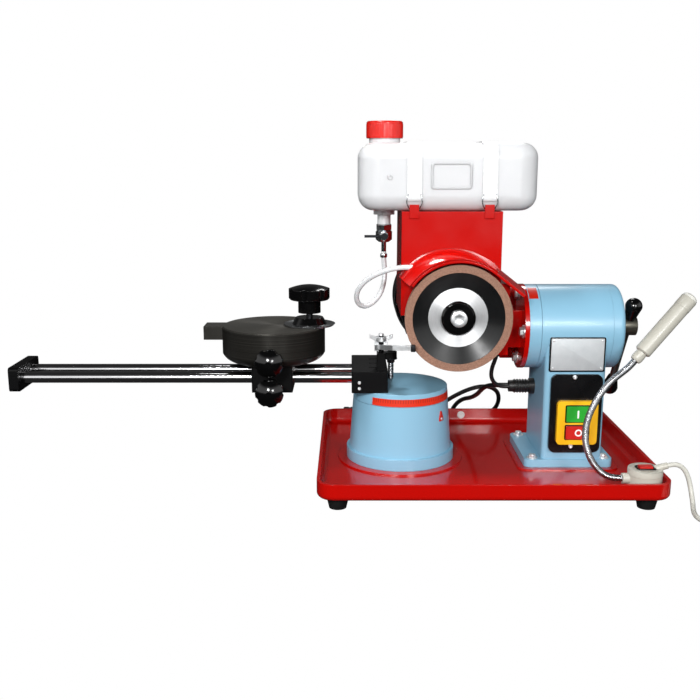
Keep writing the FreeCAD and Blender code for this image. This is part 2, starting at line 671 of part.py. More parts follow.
def group(node, *pieces):
    """Separate solids of one kind in one node."""
    together = doc.addObject("Part::Compound", node)
    together.Links = list(pieces)
    return keep(node, together)


# The drip tray and what stands on it

def make_tray():
    """Pressed tray with a round pad for the turret and a square one for the column."""
    body = new_body("base_tray", ("tray_x", "0", "foot_height"))
    outside = slab("tray_length", "tray_width", "tray_corner")
    pad(body, "tray_block", outline(body, "tray_outline", "XY", outside), "tray_height")
    round_edges(body, "tray_underside", "tray_edge", lambda edge: lies_at(edge, "Z", "0"))
    inside = slab("tray_length - 2 * tray_wall", "tray_width - 2 * tray_wall", "tray_corner - tray_wall")
    pocket(body, "tray_hollow", outline(body, "tray_inside", "XY", inside, "tray_height"),
           "tray_height - tray_floor")
    round_pad = [("turret_x - tray_x", "0", "ring_radius + turret_pad_margin")]
    pad(body, "turret_pad", circles(body, "turret_pad_outline", "XY", round_pad, "tray_floor"), "pad_height")
    square_pad = slab("column_foot_length + 2 * column_pad_margin",
                      "column_foot_width + 2 * column_pad_margin", "column_foot_corner + column_pad_margin",
                      "column_x + column_foot_x - tray_x", "column_foot_shift")
    column_pad = outline(body, "column_pad_outline", "XY", square_pad, "tray_floor")
    pad(body, "column_pad", column_pad, "pad_height")
    keep("base_tray", body)


def make_feet():
    """Four tapered rubber feet."""
    feet = []
    for side in ("-", "+"):
        for depth in ("-", "+"):
            foot = doc.addObject("Part::Cone", "foot")
            bind(foot, Radius1="foot_radius - foot_taper", Radius2="foot_radius", Height="foot_height")
            across = f"tray_x {side} (tray_length / 2 - foot_inset)"
            place(foot, (across, f"0 {depth} (tray_width / 2 - foot_inset)", "0"))
            feet.append(foot)
    group("rubber_feet", *feet)


def make_turret():
    """Hollow cast cone on its ring, and the top that turns on it by a spigot."""
    bore, hub = "spigot_radius + run_clearance", "spigot_radius + hub_wall"
    tall = "ring_height + turret_base_height"
    turned("turret_base", [
        (bore, "0"), (hub, "0"), (hub, tall + " - turret_wall"),
        ("turret_seam_radius - turret_wall", tall + " - turret_wall"),
        ("turret_foot_radius - turret_wall", "0"),
        ("ring_radius", "0"), ("ring_radius", "ring_height"), ("turret_foot_radius", "ring_height"),
        ("turret_seam_radius", tall), (bore, tall),
    ], ("turret_x", "0", "pad_z"))
    turned("turret_top", [
        ("0", "0 - spigot_length"), ("spigot_radius", "0 - spigot_length"), ("spigot_radius", "0"),
        ("turret_seam_radius", "0"), ("turret_top_radius", "turret_cap_height"), ("0", "turret_cap_height"),
    ], ("turret_x", "0", "turret_seam_z + turn_gap"))


# The arm: block, rods and end plate

def rod_places(height):
    """Circles for the two rod bores, as seen along the rods."""
    bore = "rod_radius + run_clearance"
    return [("0 - rod_spacing / 2", height, bore), ("rod_spacing / 2", height, bore)]


def make_arm():
    """Block on the turret, two rods set into it, and the plate that ties their far ends."""
    body = new_body("arm_block", ("block_x", "0", "turret_top_z"))
    plan = slab("block_length", "block_width", "block_edge")
    pad(body, "block_solid", outline(body, "block_outline", "XY", plan), "block_height")
    bores = circles(body, "block_bore_outline", "YZ", rod_places("rod_drop"), "0 - block_length / 2")
    pocket(body, "block_bores", bores, "rod_seat", backward=True)
    for row in ("-1", "0", "1"):
        plan = rectangle("block_length / 2", "block_slot_width", "block_length / 4",
                         f"{row} * block_width / 4")
        slot = outline(body, "block_slot_outline", "XY", plan, "block_height")
        pocket(body, "block_slot", slot, "block_slot_depth")
    keep("arm_block", body)
    rods = []
    for side in ("-", "+"):
        rods.append(cylinder("rod", "rod_radius", "end_thickness + rod_reach + rod_seat",
                             ("end_x - end_thickness", f"0 {side} rod_spacing / 2", "rod_z"), "X"))
    group("rail_rods", *rods)
    plate = new_body("rail_end_plate", ("end_x - end_thickness", "0", "rod_z"))
    face = slab("end_width", "end_height", "end_corner")
    pad(plate, "end_solid", outline(plate, "end_outline", "YZ", face), "end_thickness")
    pocket(plate, "end_bores", circles(plate, "end_bore_outline", "YZ", rod_places("0")), "end_thickness",
           backward=True)
    keep("rail_end_plate", plate)


# The carrier on the rods and the blade seat on the carrier

def make_carrier():
    """Block that slides on the rods, with the post that the blade seat turns on."""
    body = new_body("carrier_block", ("carrier_x", "0", "carrier_bottom"))
    pad(body, "carrier_solid",
        outline(body, "carrier_outline", "XY", slab("carrier_length", "carrier_width", "block_edge")),
        "carrier_height")
    bores = circles(body, "carrier_bore_outline", "YZ", rod_places("carrier_drop"), "0 - carrier_length / 2")
    pocket(body, "carrier_bores", bores, "carrier_length", backward=True)
    post = circles(body, "post_outline", "XY", [("0", "0", "post_radius")], "carrier_height")
    pad(body, "carrier_post", post, "post_height")
    stud = circles(body, "carrier_stud_outline", "XZ",
                   [("0", "carrier_knob_rise", "stud_radius + run_clearance")], "carrier_width / 2")
    pocket(body, "carrier_stud_hole", stud, "stud_depth + slip_clearance")
    keep("carrier_block", body)


def make_seat():
    """Cast pot with a flat turned top, cored from below round its hub, and a stop lug at its left."""
    body = new_body("blade_seat", ("carrier_x", "0", "seat_z"))
    bore, core = "post_radius + run_clearance", "seat_height - seat_top_thickness"
    profile = outline(body, "seat_profile", "XZ", [
        (bore, "0"), ("post_radius + hub_wall", "0"), ("post_radius + hub_wall", core),
        ("seat_radius - seat_wall", core), ("seat_foot_radius - seat_wall", "0"),
        ("seat_foot_radius", "0", "seat_round_radius", 1), ("seat_radius", "seat_round"),
        ("seat_radius", "seat_height - seat_edge"), ("seat_radius - seat_edge", "seat_height"),
        ("0", "seat_height"), ("0", "post_height + turn_gap"), (bore, "post_height + turn_gap"),
    ])
    revolve(body, "seat_turning", profile)
    lug = rectangle("lug_reach - seat_radius + seat_wall / 2", "lug_width",
                    "0 - (lug_reach + seat_radius - seat_wall / 2) / 2")
    pad(body, "seat_lug", outline(body, "lug_outline", "XY", lug, "seat_height - lug_height"), "lug_height")
    stem = circles(body, "stem_hole_outline", "XY", [("cone_offset", "0", "stem_radius + run_clearance")],
                   "seat_height")
    pocket(body, "stem_hole", stem, "stem_depth + clamp_travel + slip_clearance")
    relief = circles(body, "relief_outline", "XY", [("cone_offset", "0", "disc_radius + slip_clearance")],
                     "seat_height")
    pocket(body, "disc_relief", relief, "recess_depth")
    stud = circles(body, "seat_stud_outline", "XZ", [("0", "seat_knob_rise", "stud_radius + run_clearance")],
                   "seat_radius")
    pocket(body, "seat_stud_hole", stud, "stud_depth + slip_clearance")
    keep("blade_seat", body)


def scallop(body, name, radius, scoop, top, depth):
    """Scoops round a knob's rim, which leave its lobes standing."""
    circle = circles(body, name + "_outline", "XY", [(f"{radius} + {scoop} / 2", "0", scoop)], top)
    repeat_round(body, name + "_round", pocket(body, name, circle, depth), "lobe_count")


def make_star_knob(node, at, neck):
    """Lobed knob with a domed face, its neck and its stud, pointing to the operator."""
    body = new_body(node, at, "-Y")
    top = f"{neck} + star_height"
    profile = outline(body, node + "_profile", "XZ", [
        ("0", "0 - stud_depth"), ("stud_radius", "0 - stud_depth"), ("stud_radius", "0"),
        ("star_neck_radius", "0"), ("star_neck_radius", neck), ("star_radius - knob_bevel", neck),
        ("star_radius", neck + " + knob_bevel"),
        ("star_radius", neck + " + star_height / 2", "star_dome", 1), ("knob_flat", top), ("0", top),
    ])
    revolve(body, node + "_turning", profile)
    scallop(body, node + "_scallop", "star_radius", "lobe_radius", top, "2 * star_height")
    keep(node, body)


def make_clamp():
    """Disc, cone, stem and lobed knob that centre and clamp the blade."""
    bore = "stem_radius + run_clearance"
    turned("centring_disc", [
        (bore, "0"), ("disc_radius - disc_height", "0"), ("disc_radius", "disc_height"),
        (bore, "disc_height"),
    ], ("cone_x", "0", "cone_z"))
    turned("centring_cone", [
        (bore, "0"), ("cone_base_radius", "0"), ("cone_top_radius", "cone_height"), (bore, "cone_height"),
    ], ("cone_x", "0", "cone_z + disc_height"))
    keep("clamp_stem", cylinder("clamp_stem", "stem_radius", "stem_depth + clamp_z - seat_top + stem_grip",
                                ("cone_x", "0", "seat_top - stem_depth")))
    body = new_body("clamp_knob", ("cone_x", "0", "clamp_z"))
    top = "clamp_hub_height + clamp_height"
    profile = outline(body, "clamp_profile", "XZ", [
        (bore, "0"), ("clamp_hub_radius", "0"), ("clamp_hub_radius", "clamp_hub_height"),
        ("clamp_radius - knob_bevel", "clamp_hub_height"), ("clamp_radius", "clamp_hub_height + knob_bevel"),
        ("clamp_radius", top + " - clamp_crown", "clamp_dome", 1), ("knob_flat", top), ("0", top),
        ("0", "stem_grip"), (bore, "stem_grip"),
    ])
    revolve(body, "clamp_turning", profile)
    scallop(body, "clamp_scallop", "clamp_radius", "clamp_lobe_radius", top, "2 * clamp_height")
    keep("clamp_knob", body)


# The tooth finger

def make_finger():
    """Bracket with its stop screw and pin, the bent finger that swings on the pin, and its wing nut."""
    tongue_low, screw_low = "tongue_top - tongue_height", "tongue_top - screw_drop"
    post = fuse(
        "finger_post",
        block("bracket_plate_solid", "bracket_thickness", "bracket_width", "bracket_height",
              ("bracket_x - bracket_thickness / 2", "finger_y - bracket_width / 2", "block_top")),
        block("tongue_solid", "tongue_reach", "2 * tongue_radius", "tongue_height",
              ("bracket_x", "finger_y - tongue_radius", tongue_low)),
        cylinder("tongue_end", "tongue_radius", "tongue_height", ("stop_x", "finger_y", tongue_low)),
        cylinder("stop_screw", "pin_radius", "screw_drop", ("stop_x", "finger_y", screw_low)),
        cylinder("finger_pin", "pin_radius", "tongue_height + finger_hub_height + wing_height",
                 ("bracket_x", "finger_y", tongue_low)))
    keep("finger_post", post)
    bore = [("0", "0", "pin_radius + run_clearance")]
    finger = new_body("finger_bar", ("bracket_x", "finger_y", "finger_z"))
    pad(finger, "finger_hub", circles(finger, "finger_hub_outline", "XY", [("0", "0", "hub_radius")]),
        "finger_hub_height")
    half = "finger_width / 2"
    plan = outline(finger, "finger_plan", "XY", [
        ("0 - " + half, "0"), ("finger_side - " + half, "0 - finger_reach"),
        ("finger_side + finger_tip", "0 - finger_reach - finger_width / 4"),
        ("finger_side + finger_tip", "0 - finger_reach + finger_width / 4"),
        ("finger_side + " + half, "0 - finger_reach + finger_width"), (half, "0"),
    ], "finger_lift")
    pad(finger, "finger_strip", plan, "finger_rise + finger_height")
    ramp = "finger_rise / finger_reach * (finger_reach + finger_width)"
    under, over = ("0 - finger_rise - finger_height", "0"), ("finger_height", "3 * finger_height")
    for name, (low, high) in (("under", under), ("over", over)):
        wedge = outline(finger, f"finger_{name}_side", "YZ", [
            ("0 - finger_reach - finger_width", f"finger_lift + {ramp} + {low}"),
            ("0", f"finger_lift + {low}"), ("0", f"finger_lift + {high}"),
            ("0 - finger_reach - finger_width", f"finger_lift + {ramp} + {high}"),
        ])
        pocket(finger, f"finger_{name}_cut", wedge, "4 * (finger_side + finger_tip)", both=True)
    pocket(finger, "finger_bore", circles(finger, "finger_bore_outline", "XY", bore, "finger_hub_height"),
           "finger_hub_height")
    keep("finger_bar", finger)
    nut = new_body("wing_nut", ("bracket_x", "finger_y", "wing_z"))
    hub = circles(nut, "wing_hub_outline", "XY", [("0", "0", "wing_hub_radius")])
    pad(nut, "wing_hub", hub, "wing_waist")
    wings = outline(nut, "wing_side", "XZ", [
        ("0 - wing_hub_radius", "0"), ("wing_hub_radius", "0"), ("wing_span / 2", "wing_height / 2"),
        ("wing_span / 2", "wing_height"), ("wing_hub_radius", "wing_waist"),
        ("0 - wing_hub_radius", "wing_waist"), ("0 - wing_span / 2", "wing_height"),
        ("0 - wing_span / 2", "wing_height / 2"),
    ])
    pad(nut, "wing_blades", wings, "wing_hub_radius / 2", both=True)
    pocket(nut, "wing_bore", circles(nut, "wing_bore_outline", "XY", bore, "wing_height"), "wing_height")
    keep("wing_nut", nut)


# The column, its pivot and its switch

def make_column():
    """Cored casting: foot, post and the barrel that holds the head's pivot."""
    body = new_body("column", ("column_x", "0", "pad_z"))
    axis_height = "column_foot_height + pivot_height"
    foot = slab("column_foot_length", "column_foot_width", "column_foot_corner", "column_foot_x",
                "column_foot_shift")
    pad(body, "column_foot", outline(body, "column_foot_outline", "XY", foot), "column_foot_height")
    post = slab("post_width", "post_depth", "post_edge")
    pad(body, "column_post", outline(body, "column_post_outline", "XY", post), axis_height)
    barrel = circles(body, "barrel_outline", "YZ", [("0", axis_height, "barrel_radius")], "0 - barrel_left")
    pad(body, "barrel", barrel, "barrel_left + barrel_right")
    core = slab("post_width - 2 * column_wall", "post_depth - 2 * column_wall", "post_edge")
    pocket(body, "column_core", outline(body, "column_core_outline", "XY", core),
           axis_height + " - barrel_radius", backward=True)
    bore = [("0", axis_height, "shaft_radius + bush_wall + run_clearance")]
    pocket(body, "barrel_bore", circles(body, "barrel_bore_outline", "YZ", bore, "0 - barrel_left"),
           "barrel_left + barrel_right", backward=True)
    keep("column", body)


def make_pivot():
    """End cap, bushes, shaft and the ring that turns with the head."""
    turned("column_end_cap", [
        ("shaft_radius + slip_clearance", "0"), ("barrel_radius", "0"),
        ("barrel_radius", "cap_length - cap_round", "cap_round", 1),
        ("barrel_radius - cap_round", "cap_length"),
        ("shaft_radius + slip_clearance", "cap_length"),
    ], ("barrel_right_x", "0", "pivot_z"), "X")
    bushes = []
    for start in ("barrel_left_x", "barrel_right_x - bush_length"):
        at = (start, "0", "pivot_z")
        outside = cylinder("bush_outside", "shaft_radius + bush_wall", "bush_length", at, "X")
        inside = cylinder("bush_inside", "shaft_radius + run_clearance", "bush_length", at, "X")
        bushes.append(cut("bush", outside, inside))
    group("pivot_bushes", *bushes)
    step, end = "cap_right_x - flange_right_x", "lever_x + lever_hub_length - flange_right_x"
    turned("pivot_shaft", [
        ("0", "0"), ("shaft_radius", "0"), ("shaft_radius", step), ("shaft_end_radius", step),
        ("shaft_end_radius", end), ("0", end),
    ], ("flange_right_x", "0", "pivot_z"), "X")
    turned("swing_ring", [
        ("shaft_radius + run_clearance", "0"), ("barrel_radius", "0"), ("barrel_radius", "ring_length"),
        ("shaft_radius + run_clearance", "ring_length"),
    ], ("flange_right_x", "0", "pivot_z"), "X")


def front_panel(node, at, face, depth):
    """A panel on the column's front, pushed out to the operator from its own back."""
    body = new_body(node, at)
    pad(body, node + "_solid", outline(body, node + "_outline", "XZ", face), depth)
    return keep(node, body)


def make_switch():
    """Black plate, yellow frame with two windows, and the two push buttons in them."""
    front_panel("switch_plate", ("switch_x", "0 - post_front", "switch_z"),
                slab("switch_width", "switch_height", "switch_corner", "0", "switch_height / 2"),
                "switch_thickness")
    frame = front_panel("switch_frame", ("frame_x", "0 - frame_back", "frame_z"),
                        slab("frame_width", "frame_height", "frame_corner", "0", "frame_height / 2"),
                        "frame_thickness")
    buttons = (("stop", "stop_z", "stop_height"), ("start", "start_z", "start_height"))
    for name, low, tall in buttons:
        window = rectangle("button_width + 2 * slip_clearance", f"{tall} + 2 * slip_clearance", "0",
                           f"{low} - frame_z + {tall} / 2")
        opening = outline(frame, name + "_window_outline", "XZ", window, "frame_thickness")
        pocket(frame, name + "_window", opening, "frame_thickness")
        front_panel(name + "_button", ("frame_x", "0 - frame_front - button_proud + button_depth", low),
                    slab("button_width", tall, "button_corner", "0", f"{tall} / 2"), "button_depth")


def make_gland():
    """Tapered strain relief on the column's left side, for the two leads."""
    turned("cable_gland", [
        ("0", "0"), ("gland_radius + gland_lip", "0"), ("gland_radius + gland_lip", "gland_collar"),
        ("gland_radius", "gland_collar"),
        ("gland_tip_radius", "gland_length"), ("0", "gland_length"),
    ], ("post_left_x", "gland_y", "gland_z"), "-X")


# The swinging head: bracket, guard, motor and wheel

def make_bracket():
    """Flange, saddle and cheek that carry the motor, and the sheet tower that carries the tank."""
    front, tall = "0 - bracket_front", "tower_top - wheel_z"
    left = "tower_x - tower_width / 2"
    tower = cut(
        "tower",
        block("tower_outside", "tower_width", "tower_depth", tall, (left, front, "wheel_z")),
        block("tower_inside", "tower_width - 2 * tower_wall", "tower_depth - bracket_plate - tower_wall",
              tall + " - tower_wall", (left + " + tower_wall", "0 - bracket_back", "wheel_z")))
    tabs = [block("tab", "tab_width", "tower_wall", "2 * tab_height",
                  (f"{middle} - tab_width / 2", front + " - tower_wall", "tower_top - tab_height"))
            for middle in ("wheel_x - strap_left", "wheel_x + strap_right")]
    solid = fuse(
        "bracket_solid", tower, *tabs,
        cylinder("mount", "mount_radius", "bracket_plate", ("wheel_x", front, "wheel_z"), "Y"),
        block("cheek", "cheek_right", "bracket_front + cheek_back", "wheel_z + cheek_top - bracket_low",
              ("wheel_x", front, "bracket_low")),
        block("saddle", "flange_left_x - wheel_x", "saddle_width", "saddle_height",
              ("wheel_x", "0 - saddle_width / 2", "pivot_z - saddle_height / 2")),
        cylinder("flange", "flange_radius", "flange_thickness", ("flange_left_x", "0", "pivot_z"), "X"))
    motor_room = cylinder("motor_room", "fin_radius + slip_clearance", "2 * motor_length",
                          ("wheel_x", "0 - bracket_back", "wheel_z"), "Y")
    spindle_room = cylinder("spindle_room", "bearing_outer", "2 * bracket_plate",
                            ("wheel_x", front, "wheel_z"), "Y")
    keep("head_bracket", cut("head_bracket", solid, motor_room, spindle_room))


def on_wheel(radius, angle, further="0"):
    """A point of the guard's outline: radius and angle, then further along the tangent, clockwise."""
    return (f"({radius}) * cos({angle}) + ({further}) * sin({angle})",
            f"({radius}) * sin({angle}) - ({further}) * cos({angle})")


def make_guard():
    """Flared hood over the wheel, with a straight lip down its right side."""
    body = new_body("wheel_guard", ("wheel_x", "0", "wheel_z"))

    def hood(name, inner, lift):
        outer = f"{inner} + guard_sheet"
        return outline(body, name, "XZ", [
            (*on_wheel(outer, "guard_start"), outer, -1), on_wheel(outer, "guard_end"),
            on_wheel(outer, "guard_end", "guard_lip"), on_wheel(inner, "guard_end", "guard_lip"),
            (*on_wheel(inner, "guard_end"), inner, 1), on_wheel(inner, "guard_start"),
        ], lift)

    loft = body.newObject("PartDesign::AdditiveLoft", "guard_hood")
    loft.Profile = hood("guard_front_edge", "wheel_radius + guard_gap", "guard_front")
    loft.Sections = [hood("guard_back_edge", "wheel_radius + guard_gap + guard_flare", "bracket_front")]
    loft.Ruled = True
    keep("wheel_guard", body)


def make_flange_bolts():
    """Four hexagon heads on the flange."""
    bolts = []
    for quarter in range(4):
        angle = str(90 * quarter)
        bolt = doc.addObject("Part::Prism", "flange_bolt")
        bolt.Polygon = 6
        bind(bolt, Circumradius="bolt_radius", Height="bolt_height")
        out, up = f"bolt_circle * cos({angle})", f"pivot_z + bolt_circle * sin({angle})"
        place(bolt, ("flange_left_x", out, up), "-X")
        bolts.append(bolt)
    group("flange_bolts", *bolts)


def make_motor():
    """Finned housing, fan cowl with vents, stator, bearings and the rotor with its fan."""
    body = new_body("motor_housing", ("wheel_x", "0 - bracket_back", "wheel_z"), "Y")
    inner, seat = "motor_radius - motor_wall", "bearing_outer + run_clearance"
    profile = outline(body, "motor_profile", "XZ", [
        (seat, "0"), ("motor_radius", "0"), ("motor_radius", "motor_length"), (seat, "motor_length"),
        (seat, "motor_length - bearing_width"), (inner, "motor_length - bearing_width"),
        (inner, "bearing_width"), (seat, "bearing_width"),
    ])
    revolve(body, "motor_turning", profile)
    fin = rectangle("fin_height + motor_wall / 2", "fin_thickness",
                    "motor_radius + fin_height / 2 - motor_wall / 4")
    fin_pad = pad(body, "fin", outline(body, "fin_outline", "XY", fin), "motor_length")
    repeat_round(body, "fins", fin_pad, "fin_count")
    keep("motor_housing", body)

    cowl = new_body("motor_fan_cowl", ("wheel_x", "motor_rear", "wheel_z"), "Y")
    inside = "cowl_radius - cowl_wall"
    profile = outline(cowl, "cowl_profile", "XZ", [
        (inside, "0"), ("cowl_radius", "0"), ("cowl_radius", "cowl_length - cap_round", "cap_round", 1),
        ("cowl_radius - cap_round", "cowl_length"), ("0", "cowl_length"), ("0", "cowl_length - cowl_wall"),
        ("cowl_radius - cap_round", "cowl_length - cowl_wall"), (inside, "cowl_length - cap_round"),
    ])
    revolve(cowl, "cowl_turning", profile)
    vent = outline(cowl, "vent_outline", "XY", rectangle("vent_length", "vent_width", "vent_middle"),
                   "cowl_length")
    repeat_round(cowl, "vents", pocket(cowl, "vent", vent, "2 * cowl_wall"), "vent_count")
    keep("motor_fan_cowl", cowl)

    stack = ("wheel_x", "stator_start - bracket_back", "wheel_z")
    outside = cylinder("stator_outside", inner + " - run_clearance", "stator_length", stack, "Y")
    inside = cylinder("stator_inside", "rotor_radius + air_gap", "stator_length", stack, "Y")
    keep("motor_stator", cut("motor_stator", outside, inside))
    bearings = []
    for start in ("0 - bracket_back", "motor_rear - bearing_width"):
        at = ("wheel_x", start, "wheel_z")
        outside = cylinder("race_outside", "bearing_outer", "bearing_width", at, "Y")
        inside = cylinder("race_inside", "spindle_radius + run_clearance", "bearing_width", at, "Y")
        bearings.append(cut("bearing", outside, inside))
    group("motor_bearings", *bearings)
    tap, first, fan = "screw_shank + run_clearance", "stator_start - bracket_back", "motor_rear + fan_width"
    turned("rotor", [
        (tap, "0 - wheel_back"), ("spindle_radius", "0 - wheel_back"), ("spindle_radius", first),
        ("rotor_radius", first), ("rotor_radius", first + " + stator_length"),
        ("spindle_radius", first + " + stator_length"), ("spindle_radius", fan), ("fan_radius", fan),
        ("fan_radius", fan + " + fan_width"), ("0", fan + " + fan_width"), ("0", "screw_depth - wheel_back"),
        (tap, "screw_depth - wheel_back"),
    ], ("wheel_x", "0", "wheel_z"), "Y")


def make_wheel():
    """Dished wheel with an abrasive rim, core, clamp flange and screw. Heights run back from the face."""
    face = ("wheel_x", "0 - wheel_face", "wheel_z")
    rim, back = "wheel_radius - abrasive_width", "abrasive_depth + body_back"
    core_front, bore = f"{back} - core_thickness", "screw_shank + run_clearance"
    turned("abrasive_ring", [
        (rim, "0"), ("wheel_radius", "0"), ("wheel_radius", "abrasive_depth"), (rim, "abrasive_depth"),
    ], face, "Y")
    turned("wheel_body", [
        ("core_radius", "dish_depth"), (rim, "dish_lip"), (rim, "abrasive_depth"),
        ("wheel_radius", "abrasive_depth"), ("wheel_radius - body_back / 2", back), ("core_radius", back),
    ], face, "Y")
    turned("wheel_core", [
        (bore, core_front), ("core_radius", core_front), ("core_radius", back), (bore, back),
    ], face, "Y")
    head = core_front + " - washer_thickness"
    turned("wheel_flange", [
        (bore, head), ("washer_radius - washer_bevel", head), ("washer_radius", head + " + washer_bevel"),
        ("washer_radius", core_front), (bore, core_front),
    ], face, "Y")
    turned("arbor_screw", [
        ("0", head + " - screw_height"), ("screw_radius - screw_bevel", head + " - screw_height"),
        ("screw_radius", head + " - screw_height + screw_bevel"), ("screw_radius", head),
        ("screw_shank", head), ("screw_shank", back + " + screw_depth - screw_room"),
        ("0", back + " + screw_depth - screw_room"),
    ], face, "Y")


# The hand lever

def make_grip(name, at, tilt):
    """Pear-shaped grip, from its neck to its round end."""
    body = new_body(name, at, FreeCAD.Rotation(V(1, 0, 0), tilt))
    profile = outline(body, name + "_profile", "XZ", [
        ("0", "0"), ("grip_neck", "0"), ("grip_radius", "grip_length - grip_radius", "grip_radius", 1),
        ("0", "grip_length"),
    ])
    revolve(body, name + "_turning", profile)
    return body


def make_lever():
    """Hub on the pivot shaft, tilted bar through it, and a grip on each end."""
    middle, tilt = "lever_x + lever_hub_length / 2", number("lever_tilt")

    def along(distance):
        return (middle, f"0 - ({distance}) * sin(lever_tilt)", f"pivot_z + ({distance}) * cos(lever_tilt)")

    solid = fuse(
        "lever_solid",
        cylinder("lever_hub", "lever_hub_radius", "lever_hub_length", ("lever_x", "0", "pivot_z"), "X"),
        cylinder("lever_rod", "lever_radius", "lever_down + lever_up", along("0 - lever_down"),
                 FreeCAD.Rotation(V(1, 0, 0), tilt)))
    bore = cylinder("lever_bore", "shaft_end_radius + run_clearance", "lever_hub_length",
                    ("lever_x", "0", "pivot_z"), "X")
    keep("lever_bar", cut("lever_bar", solid, bore))
    group("lever_grips", make_grip("upper_grip", along("lever_up"), tilt),
          make_grip("lower_grip", along("0 - lever_down"), tilt + 180))


# The water tank, its cap, valve and straps

def tank_form(name, wall, neck, spout_collar, spout):
    """The tank's outside, or with a wall taken off it the room inside, with its neck and spout."""
    body = new_body(name, ("tank_x", "0", "tank_z"))
    plan = slab(f"tank_length - 2 * {wall}", f"tank_depth - 2 * {wall}", f"tank_corner - {wall}")
    low, high = wall, f"tank_height - {wall}"
    pad(body, name + "_block", outline(body, name + "_outline", "XY", plan, low), f"{high} - {low}")
    round_edges(body, name + "_edges", f"tank_round - {wall}",
                lambda edge: lies_at(edge, "Z", low) or lies_at(edge, "Z", high))
    across = "neck_x - tank_x"
    neck_circle = circles(body, name + "_neck_outline", "XY", [(across, "0", neck)], "tank_height / 2")
    pad(body, name + "_neck", neck_circle, "tank_height / 2 + neck_height")
    collar, tip = (spout_collar, "spout_flange_height"), (spout, "spout_length")
    for part, (radius, drop) in (("_collar", collar), ("_spout", tip)):
        circle = circles(body, name + part + "_outline", "XY", [(across, "0", radius)], "tank_height / 4")
        pad(body, name + part, circle, "tank_height / 4 + " + drop, backward=True)
    return body


def make_tank():
    """Blow-moulded tank with an open neck and a spout, and its screw cap."""
    outside = tank_form("tank_outside", "0", "neck_radius", "spout_flange_radius", "spout_radius")
    inside = tank_form("tank_inside", "tank_wall", "neck_radius - tank_wall", "spout_bore", "spout_bore")
    keep("tank", cut("tank", outside, inside))
    thread, top = "neck_radius + slip_clearance", "cap_height - cap_top"
    turned("tank_cap", [
        (thread, "0"), ("cap_radius", "0"), ("cap_radius", "cap_height - cap_bevel"),
        ("cap_radius - cap_bevel", "cap_height"), ("0", "cap_height"), ("0", top), (thread, top),
    ], ("neck_x", "0", "tank_top + cap_rise"))


def make_valve():
    """Round-bodied tap under the spout, with a hose tail below and a key at its front."""
    body = new_body("valve_body", ("neck_x", "0", "valve_z"))
    profile = outline(body, "valve_profile", "XZ", [
        ("0", "0 - barb_drop"), ("barb_radius", "0 - barb_drop"), ("barb_radius", "0 - valve_shoulder"),
        ("valve_waist", "0 - valve_shoulder"), ("valve_radius", "0 - valve_radius / 2"),
        ("valve_radius", "valve_radius / 2"), ("valve_waist", "valve_drop - valve_nut_height"),
        ("valve_nut_radius", "valve_drop - valve_nut_height"),
        ("valve_nut_radius", "valve_drop"), ("0", "valve_drop"),
    ])
    revolve(body, "valve_turning", profile)
    boss = circles(body, "valve_boss_outline", "XZ", [("0", "0", "key_boss_radius + key_wall")])
    pad(body, "valve_boss", boss, "valve_radius + boss_length")
    keep("valve_body", body)
    key = new_body("valve_lever", ("neck_x", "0 - valve_radius - boss_length - turn_gap", "valve_z"))
    boss = circles(key, "key_boss_outline", "XZ", [("0", "0", "key_boss_radius")])
    pad(key, "key_boss", boss, "2 * (key_radius + key_wall)")
    pin = circles(key, "key_pin_outline", "YZ", [("0 - key_radius - key_wall", "0", "key_radius")])
    pad(key, "key_pin", pin, "key_reach", backward=True)
    keep("valve_lever", key)


def make_straps():
    """Two bands over the tank."""
    out, over, turn = "(tank_depth / 2 + strap_gap)", "(tank_height + strap_gap)", "tank_round"
    thick = "strap_thickness"
    straps = []
    for name, middle in (("left_strap", "wheel_x - strap_left"), ("right_strap", "wheel_x + strap_right")):
        body = new_body(name, (f"{middle} - strap_width / 2", "0", "tank_z"))
        band = outline(body, name + "_outline", "YZ", [
            (f"0 - {out} - {thick}", "strap_start"),
            (f"0 - {out} - {thick}", f"{over} - {turn}", f"{turn} + {thick}", -1),
            (f"0 - {out} + {turn}", f"{over} + {thick}"),
            (f"{out} - {turn}", f"{over} + {thick}", f"{turn} + {thick}", -1),
            (f"{out} + {thick}", f"{over} - {turn}"), (f"{out} + {thick}", "strap_start"),
            (out, "strap_start"), (out, f"{over} - {turn}", turn, 1), (f"{out} - {turn}", over),
            (f"0 - {out} + {turn}", over, turn, 1), (f"0 - {out}", f"{over} - {turn}"),
            (f"0 - {out}", "strap_start"),
        ])
        pad(body, name + "_band", band, "strap_width")
        straps.append(body)
    group("tank_straps", *straps)


# The work lamp

LAMP_AIM = V(60, 10, 69)


